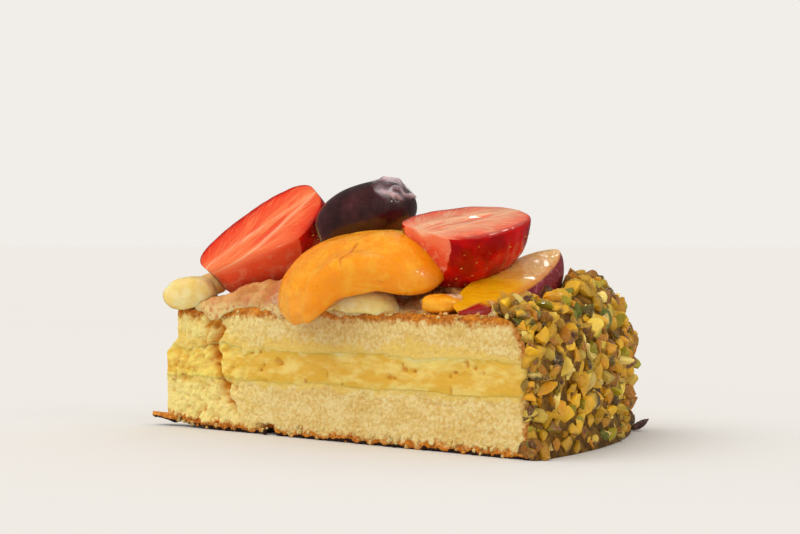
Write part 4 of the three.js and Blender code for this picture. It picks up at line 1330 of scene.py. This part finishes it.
bed = {
    "low": (206, 138, 70), "light": (232, 180, 114), "pink": (210, 122, 78),
    "brown": (176, 96, 40), "crumb": (240, 208, 140),
    "sunk": 0.3,  # how far it lies into the top of the sponge
    "start": 16,  # distances from the axis where it starts and ends
    "end": 124,
    # along the near cut: where the edge stands back (+) or hangs over the cut (-), and how far it hangs down
    "edgeAt": [18, 22, 27, 31, 37, 42, 50, 58, 66, 74, 80, 85, 92, 102, 108, 116, 124],
    "inset": [0.6, -0.5, -0.5, 0.4, 2.2, 1.4, -0.2, 0.2, 0.8, 0.2, 0.6, 1.4, 5.0, 7.0, 7.5, 8.0, 8.0],
    "hang": [0.4, 3.0, 3.2, 0.8, 0, 0.2, 1.6, 0.8, 0.4, 1.2, 0.8, 0, 0, 0, 0.8, 0.6, 0],
    "edgeRise": [2.4, 3.4, 3.6, 3.4, 4.2, 4.6, 3.0, 2.0, 2.0, 2.0, 2.0, 1.4, 0.6, 0.4, 0.4, 0.4, 0.4],
}


def bedHeight(x, y):
    # thin at the edges, with mounds where the fruit is piled: bells along X times bells along Y
    edge = 0.8 * unevenness(x, y, 0, 13)
    mound = 14 * bell(x - 68, 24) * bell(y - 3, 15) + 5 * bell(x - 100, 16) * bell(y + 4, 18)
    return edge + mound + 4.4 * bell(x - 33, 10) * bell(y + 8, 8)


def addCustardBed():
    # Rings from under the bed out to its edge, round the edge on a bulging half circle that may start below
    # the edge of the sponge, and in over the top to the middle.
    a = cake["halfAngle"]
    s = np.linspace(bed["start"], bed["end"], 300)
    lobes = 0.9 * roughNoise(flatSpots(s, 0 * s, 0), 7, 104) + 0.6 * softNoise(flatSpots(s, 0 * s, 5), 3, 105)
    nearInset = np.interp(s, bed["edgeAt"], bed["inset"]) + 0.5 * lobes
    hang = np.clip(np.interp(s, bed["edgeAt"], bed["hang"]) * (1 + 0.7 * lobes), 0, None)
    rise = np.interp(s, bed["edgeAt"], bed["edgeRise"]) * (1 + 0.35 * lobes)
    near = np.stack(
        [s * math.cos(a) + nearInset * math.sin(a), -s * math.sin(a) + nearInset * math.cos(a)], -1
    )
    turn = np.linspace(-0.8, 0.8, 60)
    rim = np.stack([122 * np.cos(turn * a), 122 * np.sin(turn * a)], -1)
    farS = np.linspace(bed["end"], bed["start"], 150)
    farInset = 1.2 + 1.3 * roughNoise(flatSpots(farS, 0 * farS, 50), 8, 106)
    far = np.stack(
        [farS * math.cos(a) + farInset * math.sin(a), farS * math.sin(a) - farInset * math.cos(a)], -1
    )
    tip = np.stack([np.full(12, near[0, 0]), np.linspace(far[-1, 1], near[0, 1], 14)[1:-1]], -1)
    outline = np.concatenate([near, rim, far, tip])
    others = len(outline) - len(s)
    hang = np.concatenate([hang, np.zeros(others)])
    rise = np.concatenate([rise, np.full(others, 2.4)])
    middle = np.array([78.0, 0.0])
    outward = unitRows(outline - middle)

    underRings, edgeRings = 12, 16
    reach = np.linspace(0.04, 0.96, underRings)[:, None, None]
    under = middle + reach * (outline[None] - middle)
    underLevel = upperRoof(under[..., 0], under[..., 1]) - bed["sunk"]
    bulgeShare = np.linspace(0, 1, edgeRings)[:, None]
    seat = upperRoof(outline[:, 0], outline[:, 1]) - bed["sunk"]
    bulgeOut = np.sin(math.pi * bulgeShare) * (0.5 + 0.28 * (hang + rise))[None] * 0.55
    edge = outline[None] + outward[None] * bulgeOut[..., None]
    edgeLevel = seat - hang + (0.5 - 0.5 * np.cos(math.pi * bulgeShare)) * (hang + rise)
    share = np.concatenate([[0.99, 0.975, 0.955], np.linspace(0.93, 0.03, 50)])[:, None, None]
    over = middle + share * (outline[None] - middle)
    grown = smoothStep(1 - share[..., 0], 0, 0.35)
    seatOver = upperRoof(over[..., 0], over[..., 1]) - bed["sunk"]
    overLevel = (
        seatOver
        + rise
        + 0.9 * smoothStep(1 - share[..., 0], 0, 0.06)
        + grown * bedHeight(over[..., 0], over[..., 1])
    )
    rows = np.concatenate([
        np.concatenate([under, underLevel[..., None]], -1),
        np.concatenate([edge, edgeLevel[..., None]], -1),
        np.concatenate([over, overLevel[..., None]], -1),
    ])
    rough = (
        0.9 * roughNoise(rows, 5, 101)
        + 0.8 * (lumps(rows, 3.4, 102) - 0.7)
        + 0.45 * roughNoise(rows, 1.8, 107)
    )
    upper = np.concatenate([np.zeros(underRings), np.linspace(0, 1, edgeRings), np.ones(len(share))])[:, None]
    rows[..., 2] += rough * upper
    edgeRows = slice(underRings, underRings + edgeRings)
    rows[edgeRows, :, :2] += outward[None] * (0.5 * rough[edgeRows] * np.sin(math.pi * bulgeShare))[..., None]
    made = Finish(
        "glazedCustard",
        {
            "Specular IOR Level": 0.5,
            "Coat Weight": 0.7,
            "Coat Roughness": 0.06,
            **softFlesh(0.6, (1.0, 0.6, 0.3), 0.003),
        },
    )
    cloud, patch, fine = made.noise(4.5, 3, 0.6), made.noise(1.6, 3), made.noise(0.7, 2)
    color = made.mix(made.between(cloud, 0.4, 0.62), bed["low"], bed["light"])
    color = made.mix(made.between(made.noise(9, 2), 0.48, 0.64) * 0.7, color, bed["pink"])
    color = made.mix(made.between(patch + 0.4 * fine, 0.8, 1.0) * 0.4, color, bed["brown"])
    crumbly = made.attribute("foot") * made.between(patch + 0.5 * fine, 0.55, 0.8)
    color = made.mix(crumbly, color, bed["crumb"])
    normal = made.bump(cloud + 0.5 * patch + 0.3 * fine, 0.7)
    finish = made.finishWith(color, normal, made.between(patch, 0.3, 0.7, 0.16, 0.4))
    foot = 1 - smoothStep(rows[..., 2] + 0.8 * roughNoise(rows, 3, 108), 35.6, 38.2)
    addSkin("custardBed", rows, finish, ["custard_bed"], {"foot": foot})


# clear drops of glaze on and between the fruit: place, size and the way each is stretched
glazeDrops = [
    ((103.0, -27.0, 39.2), (9, 5.0, 3.2), (0.95, -0.25, 0.1)),
    ((97.5, -25.5, 38.6), (7, 4, 3.0), (0.9, -0.35, 0.0)),
    ((49.5, -15.8, 38.2), (9, 4.5, 5.0), (0.95, -0.3, 0.0)),
    ((57.5, -19.2, 37.2), (8, 4, 5.2), (0.95, -0.3, -0.1)),
    ((121.5, -36.0, 36.6), (8, 5, 4.5), (0.9, -0.4, -0.15)),
]


def addGlazeDrops():
    # uneven balls, pressed flatter underneath, joined into one piece
    ball, faces = ballOf(4)
    blocks = []
    for k, (place, size, axis) in enumerate(glazeDrops):
        drop = ball * (1 + 0.2 * roughNoise(ball + 9.0 * k, 0.8, 120 + k))[:, None]
        drop[:, 2] = np.where(drop[:, 2] < 0, 0.6 * drop[:, 2], drop[:, 2])
        blocks.append(placed(drop * np.array(size) / 2, place, axis, (0, -0.3, 1)))
    points = np.concatenate(blocks)
    index = repeated(faces, len(blocks), len(ball))
    addPiece("glazeDrops", points, [index], clearGlaze)


addCustardBed()
addGlazeDrops()
print("custard bed laid")


coat = {
    "thickness": 1.0,
    "firstCount": (12, 19),  # rows up the coat and nuts in a row, close to the cream
    "secondCount": (10, 15),  # the same for the nuts that stand further out
    "kernel": [
        (240, 182, 22), (222, 156, 12), (250, 212, 80), (184, 114, 10),
        (178, 166, 20), (104, 118, 18), (248, 216, 116),
    ],
    "kernelShare": [0.3, 0.2, 0.15, 0.13, 0.1, 0.05, 0.07],
    "skin": [(96, 48, 34), (62, 34, 22), (140, 90, 56), (90, 72, 30), (80, 28, 34)],
    "skinned": 0.34,
    "oily": (186, 142, 26),
    "pale": (238, 214, 130),
    # the cream's dark browns: partly the syrup's own colour and partly painted shade in the gaps between the
    # nuts
    "creamDark": (104, 68, 12),
    "creamLight": (146, 102, 22),
    "husk": (58, 32, 30),
    "huskLight": (104, 64, 50),
}


def besideSponge(z):
    return rimRadius(z) + 0.75


def crestHeight(turn):
    return np.interp(
        turn, [-1, -0.75, -0.3, -0.12, 0, 0.2, 0.45, 0.7, 1], [39.6, 39.6, 39.8, 41.6, 45.6, 46, 45, 43, 41.4]
    )


def coatOutside(turn):
    # the outside of the coat's section at each turn, from the table over the crest: radius and height
    crest = crestHeight(turn)
    high = (crest - 40) / 6
    inner = 127 - 3.4 * high
    thick = coat["thickness"] * (1 - 0.4 * turn**8)
    level = [0, 8, cake["lowerTop"], cake["custardTop"]]
    radii = [besideSponge(z) + thick - drawn for z, drawn in zip(level, (1.4, 1.0, 0.5, 0))]
    radii += [136.6 + thick, 135.2 - 0.8 * high, 131.4 - 1.8 * high, inner + 2.6, inner + 0.5, inner]
    heights = [z + 0 * turn for z in level]
    heights += [31 + 0 * turn, 36.4 + 3.6 * high, crest - 0.8, crest]
    heights += [38.4 + 2.6 * high, cake["toppingSeat"] + 0 * turn]
    return np.stack([np.stack(radii, -1), np.stack(heights, -1)], -1)


def alongOutside(turn, share):
    # the place at a share of the length of the coat's outside, for arrays of turns and shares
    line = coatOutside(turn)
    steps = np.linalg.norm(np.diff(line, axis=-2), axis=-1)
    length = np.concatenate([np.zeros(turn.shape + (1,)), np.cumsum(steps, -1)], -1)
    want = share * length[..., -1]
    k = np.clip((length <= want[..., None]).sum(-1) - 1, 0, steps.shape[-1] - 1)
    left = np.take_along_axis(length, k[..., None], -1)[..., 0]
    part = (want - left) / np.take_along_axis(steps, k[..., None], -1)[..., 0]
    low = np.take_along_axis(line, k[..., None, None], -2)[..., 0, :]
    high = np.take_along_axis(line, k[..., None, None] + 1, -2)[..., 0, :]
    return low + part[..., None] * (high - low)


def onRim(radius, turn, z):
    angle = turn * cake["halfAngle"]
    return np.stack([radius * np.cos(angle), radius * np.sin(angle), z], -1)


def addCoatCream():
    # the section of the cream, outside and then back along the sponge, carried round the rim; its dark browns
    # are partly the syrup's own colour and partly painted shade between the nuts
    turn = np.linspace(-0.985, 0.985, 150)
    share = np.linspace(0, 1, 90)
    outside = alongOutside(turn[:, None] + 0 * share, share[None] + 0 * turn[:, None])
    z = np.array([36.05, 36.05, 34.8, 31.5, 27, 24.2, 15.2, 8, 0])
    radius = np.array([0, 128.8, 132.6, 0, 0, 0, 0, 0, 0])
    radius = np.where(radius > 0, radius, besideSponge(z))[1:]
    inside = np.stack([radius, z[1:]], -1)[None].repeat(len(turn), 0)
    section = np.concatenate([outside, inside], 1)
    rows = onRim(section[..., 0], turn[:, None], section[..., 1])
    rows[:, :90] += 0.3 * roughNoise(rows[:, :90], 2.4, 111)[..., None] * unitRows(rows[:, :90] * [1, 1, 0])
    soft = softFlesh(0.4, (1.0, 0.6, 0.2), 0.002)
    made = Finish("coatCream", {"Specular IOR Level": 0.4, **soft})
    cloud, patch = made.noise(2.6, 3), made.noise(0.8, 3)
    color = made.mix(made.between(cloud, 0.4, 0.6), coat["creamDark"], coat["creamLight"])
    finish = made.finishWith(
        color, made.bump(cloud + 0.4 * patch, 0.5), made.between(patch, 0.3, 0.7, 0.4, 0.7)
    )
    addSkin("coatCream", rows, finish, ["pistachio_coat"])


def chosen(numbers, colors, shares=None):
    # one colour from the list for each random number, by equal or given shares
    shares = np.full(len(colors), 1 / len(colors)) if shares is None else np.array(shares)
    index = np.minimum((numbers[:, None] > np.cumsum(shares)[None]).sum(1), len(colors) - 1)
    return np.array([tint(*color)[:3] for color in colors])[index]


def choppedNuts(places, outward, sizes, random):
    # Each bit is an uneven ball pressed flat against a few random planes, turned at random. Its kernel shows
    # on the cut faces, and some keep their skin on the round ones. Gives points, faces and colours.
    ball, faces = ballOf(2)
    count = len(places)
    squash = np.stack(
        [random.uniform(1.05, 1.6, count), random.uniform(0.7, 1.0, count), random.uniform(0.5, 0.85, count)],
        -1,
    )
    points = ball[None] * squash[:, None] * sizes[:, None, None]
    points *= 1 + 0.07 * random.standard_normal((count, len(ball), 1))
    cut = np.zeros((count, len(ball)))
    for _ in range(5):
        normal = unitRows(random.standard_normal((count, 3)))
        reach = sizes * random.uniform(0.28, 0.7, count)
        beyond = np.clip(np.einsum("nvk,nk->nv", points, normal) - reach[:, None], 0, None)
        points -= beyond[..., None] * normal[:, None]
        cut = np.maximum(cut, beyond > 0.06)
    first = unitRows(random.standard_normal((count, 3)))
    second = unitRows(np.cross(first, random.standard_normal((count, 3))))
    turned = np.stack([first, second, np.cross(first, second)], 1)
    points = np.einsum("nvk,nkj->nvj", points, turned) + places[:, None]
    kernel = chosen(random.random(count), coat["kernel"], coat["kernelShare"])
    kernel = kernel * (0.55 + 0.75 * random.random((count, 1)))
    skin = chosen(random.random(count), coat["skin"])
    skinned = (random.random(count) < coat["skinned"])[:, None] * (1 - 0.85 * cut)
    colors = kernel[:, None] * (1 - skinned[..., None]) + skin[:, None] * skinned[..., None]
    colors = colors * (0.84 + 0.32 * random.random((count, len(ball), 1)))
    # syrup gathers low between the bits, and shade falls there: they are darker on the side that faces the
    # cream, partly the syrup's colour and partly painted shade
    depth = np.einsum("nvk,nk->nv", points - places[:, None], outward) / sizes[:, None]
    syrupAndShade = smoothStep(-depth, -0.15, 0.75)[..., None]
    colors = colors * (1 - syrupAndShade) + colors * np.array([0.4, 0.28, 0.14]) * syrupAndShade
    index = repeated(faces, count, len(ball))
    colors = np.concatenate([colors.reshape(-1, 3), np.ones((count * len(ball), 1))], -1)
    return points.reshape(-1, 3), index, colors


def nutSpots(counts, random, lift, turnReach, middle=0):
    # places in staggered rows over the coat, each shifted at random and lifted out by `lift`
    row, column = np.meshgrid(np.arange(counts[0]), np.arange(counts[1]), indexing="ij")
    stagger = (row % 2) * 0.5 + 0.25 + 0.55 * (random.random(row.shape) - 0.5)
    turn = (middle - turnReach + 2 * turnReach * (column + stagger) / counts[1]).ravel()
    share = ((row + 0.5 + 0.55 * (random.random(row.shape) - 0.5)) / counts[0]).ravel()
    share = np.clip(share, 0.012, 0.985)
    outside = alongOutside(turn, share)
    ahead = alongOutside(turn, np.clip(share + 0.02, 0, 1))
    slope = unitRows(ahead - outside + np.array([0, 1e-6]))
    across = np.stack([slope[:, 1], -slope[:, 0]], -1)
    outside = outside + lift * across
    angle = turn * cake["halfAngle"]
    outward = np.stack([across[:, 0] * np.cos(angle), across[:, 0] * np.sin(angle), across[:, 1]], -1)
    return onRim(outside[:, 0], turn, outside[:, 1]), outward


def clearOfNectarine(places, margin):
    # keeps the places that lie outside the nectarine's wedge
    local = localTo(places, nectarine["at"], nectarine["axis"], nectarine["face"])
    inLength = np.abs(local[:, 0]) < nectarine["length"] / 2 - 1
    inDepth = -local[:, 1] < 0.52 * nectarine["depth"] + margin
    inHeight = (local[:, 2] < margin) | (local[:, 2] < 6)
    return ~(inLength & inDepth & inHeight & (-local[:, 1] > -0.5 * nectarine["depth"]))


def endSpots(end, random):
    # places up an end of the coat, close beside the sponge
    z = np.linspace(22, 37.5, 10) + 0.6 * random.random(10)
    turn = np.full(10, end)
    angle = turn * cake["halfAngle"]
    side = np.sign(end)
    outward = np.stack([-side * np.sin(angle), side * np.cos(angle), 0 * z], -1)
    return onRim(besideSponge(z) + 0.5, turn, z), outward


def addNuts():
    random = np.random.default_rng(12)
    places, outward = zip(
        nutSpots(coat["firstCount"], random, -0.9, 0.985),
        nutSpots(coat["secondCount"], random, 0.5, 0.95),
        nutSpots((26, 1), random, 0.1, 0.03, -0.985),
        nutSpots((26, 1), random, 0.1, 0.03, 0.985),
        endSpots(-0.975, random),
        endSpots(0.975, random),
    )
    spans = [(2.5, 3.8), (1.7, 3.3), (1.5, 2.5), (1.5, 2.5), (1.3, 2.0), (1.3, 2.0)]
    sizes = np.concatenate([random.uniform(*span, len(spots)) for span, spots in zip(spans, places)])
    places, outward = np.concatenate(places), np.concatenate(outward)
    keep = clearOfNectarine(places, 0.3)
    places, outward, sizes = places[keep], outward[keep], sizes[keep]
    corner, cornerOut = nutSpots((18, 4), random, 0.5, 0.09, -0.91)  # over the near end of the nectarine
    high = corner[:, 2] > 31
    places, outward = np.concatenate([places, corner[high]]), np.concatenate([outward, cornerOut[high]])
    sizes = np.concatenate([sizes, random.uniform(1.6, 2.6, high.sum())])
    drawnIn = 0.3 + 0.3 * (1 - smoothStep(places[:, 2], 3, 14))
    places -= drawnIn[:, None] * unitRows(places * [1, 1, 0])
    places[:, 2] = np.maximum(places[:, 2], 0.75 * sizes)
    points, index, colors = choppedNuts(places, outward, sizes, random)
    points[:, 2] = np.maximum(points[:, 2], 0.02)
    soft = softFlesh(0.2, (1.0, 0.7, 0.2), 0.0015)
    gloss = {"Specular IOR Level": 0.5, "Coat Weight": 0.6, "Coat Roughness": 0.06}
    made = Finish("choppedPistachio", {**gloss, **soft})
    own = made.attribute("nutColor", 0)
    patch, fine = made.noise(1.1, 3), made.noise(0.4, 2)
    color = made.mix(made.between(patch, 0.35, 0.65) * 0.2, own, coat["oily"])
    color = made.mix(made.between(fine + 0.3 * patch, 0.66, 0.86) * 0.3, color, coat["pale"])
    finish = made.finishWith(
        color, made.bump(patch + 0.4 * fine, 0.25), made.between(patch, 0.3, 0.7, 0.3, 0.55)
    )
    addPiece(
        "choppedNuts",
        points,
        [index],
        finish,
        ["pistachio_coat"],
        {"nutColor": colors},
        sharp=38,
    )


def addLooseNut():
    # a shrivelled kernel in its skin at the foot of the coat: a curved spindle carried along X
    share = np.linspace(0.03, 0.97, 50)[:, None]
    turn = np.linspace(0, 2 * math.pi, 48, endpoint=False)[None]
    half = np.sin(math.pi * share) ** 0.7 * (1 - 0.35 * share)
    x = (share - 0.5) * 7.6 + 0 * turn
    rows = np.stack([x, 1.7 * half * np.cos(turn), 1.25 * half * np.sin(turn) + 1.6 * (share - 0.4) ** 2], -1)
    rows += unitRows(rows * [0, 1, 1] + 1e-6) * (0.22 * roughNoise(rows, 1.6, 131))[..., None]
    place = onRim(np.array(141.9), np.array(0.87), np.array(1.75))
    rows = placed(rows, place, (0.55, 0.78, 0.32), (-0.3, -0.1, 1))
    rows[..., 2] = np.maximum(rows[..., 2], 0.02)
    made = Finish("nutSkin", {"Specular IOR Level": 0.5, "Coat Weight": 0.4, "Coat Roughness": 0.2})
    patch, fine = made.noise(1.4, 3), made.noise(0.4, 2)
    color = made.mix(made.between(patch, 0.4, 0.62), coat["husk"], coat["huskLight"])
    finish = made.finishWith(
        color, made.bump(patch + 0.5 * fine, 0.3), made.between(patch, 0.3, 0.7, 0.3, 0.55)
    )
    addSkin("looseNut", rows, finish)


addCoatCream()
addNuts()
addLooseNut()
print("nuts stuck on")


crumbs = {
    "onCut": 12,  # on the near cut, in its torn end
    "underEdge": 110,  # along the bottom of the near cut
    "onTop": 80,
}


def addCrumbs():
    # Small lumps of cake stuck to the near cut and along its foot: uneven balls placed by random numbers in
    # distance from the tip and height, drawn towards the torn end by a power of the random number.
    random = np.random.default_rng(31)
    ball, faces = ballOf(2)
    a = cake["halfAngle"]
    count = crumbs["onCut"] + crumbs["underEdge"] + crumbs["onTop"]
    s = np.concatenate([
        4 + 30 * random.random(crumbs["onCut"]),
        3 + 130 * random.random(crumbs["underEdge"]),
        24 + 100 * random.random(crumbs["onTop"]),
    ])
    z = np.concatenate([
        random.uniform(1.5, 35.0, crumbs["onCut"]),
        random.uniform(0.4, 3.4, crumbs["underEdge"]),
        35.4 + random.uniform(-0.6, 0.5, crumbs["onTop"]),
    ])
    z = np.maximum(z, baseHeight(s * math.cos(a), s * math.sin(a)) + 0.4)
    inCustard = (z > cake["lowerTop"] - 0.3) & (z < cake["custardTop"] + 0.3)
    inCrack = np.abs(s - crackPlace(z)) < 2.6
    setback = setbackAt(s, z)
    keep = ~inCustard & ~inCrack & (s > setback + 3)
    size = random.uniform(0.35, 0.75, count)
    out = random.uniform(-0.4, 0.2, count)
    out = np.where(z > 34.6, -random.uniform(0.2, 3.0, count), out)
    x = s * math.cos(a) + setback - out * math.sin(a)
    y = -s * math.sin(a) - out * math.cos(a)
    place = np.stack([x, y, z], -1)[keep]
    size, s, z = size[keep], s[keep], z[keep]
    points = ball[None] * (1 + 0.22 * random.standard_normal((len(place), len(ball), 1)) * 0.8)
    points = points * random.uniform(0.7, 1.2, (len(place), 1, 3)) * size[:, None, None] + place[:, None]
    points[..., 2] = np.maximum(points[..., 2], 0.03)
    above = z - baseHeight(s * math.cos(a), s * math.sin(a))
    brown = (
        np.maximum(1 - smoothStep(above, 0.6, 3.0), smoothStep(z, 34.4, 35.4))
        * random.uniform(0.4, 1.0, len(z))
    )
    tones = {
        "pit": random.uniform(0, 0.15, len(z)),
        "crust": np.clip(brown, 0, 1),
        "char": (above < 1.0) * (random.random(len(z)) < 0.35) * 0.8,
        "soaked": bell(z - 20, 7) * random.random(len(z)),
    }
    tones = {key: np.repeat(values, len(ball)) for key, values in tones.items()}
    index = repeated(faces, len(place), len(ball))
    addPiece("crumbs", points.reshape(-1, 3), [index], bpy.data.materials["upperCrumb"], (), tones)


addCrumbs()
print("crumbs scattered")
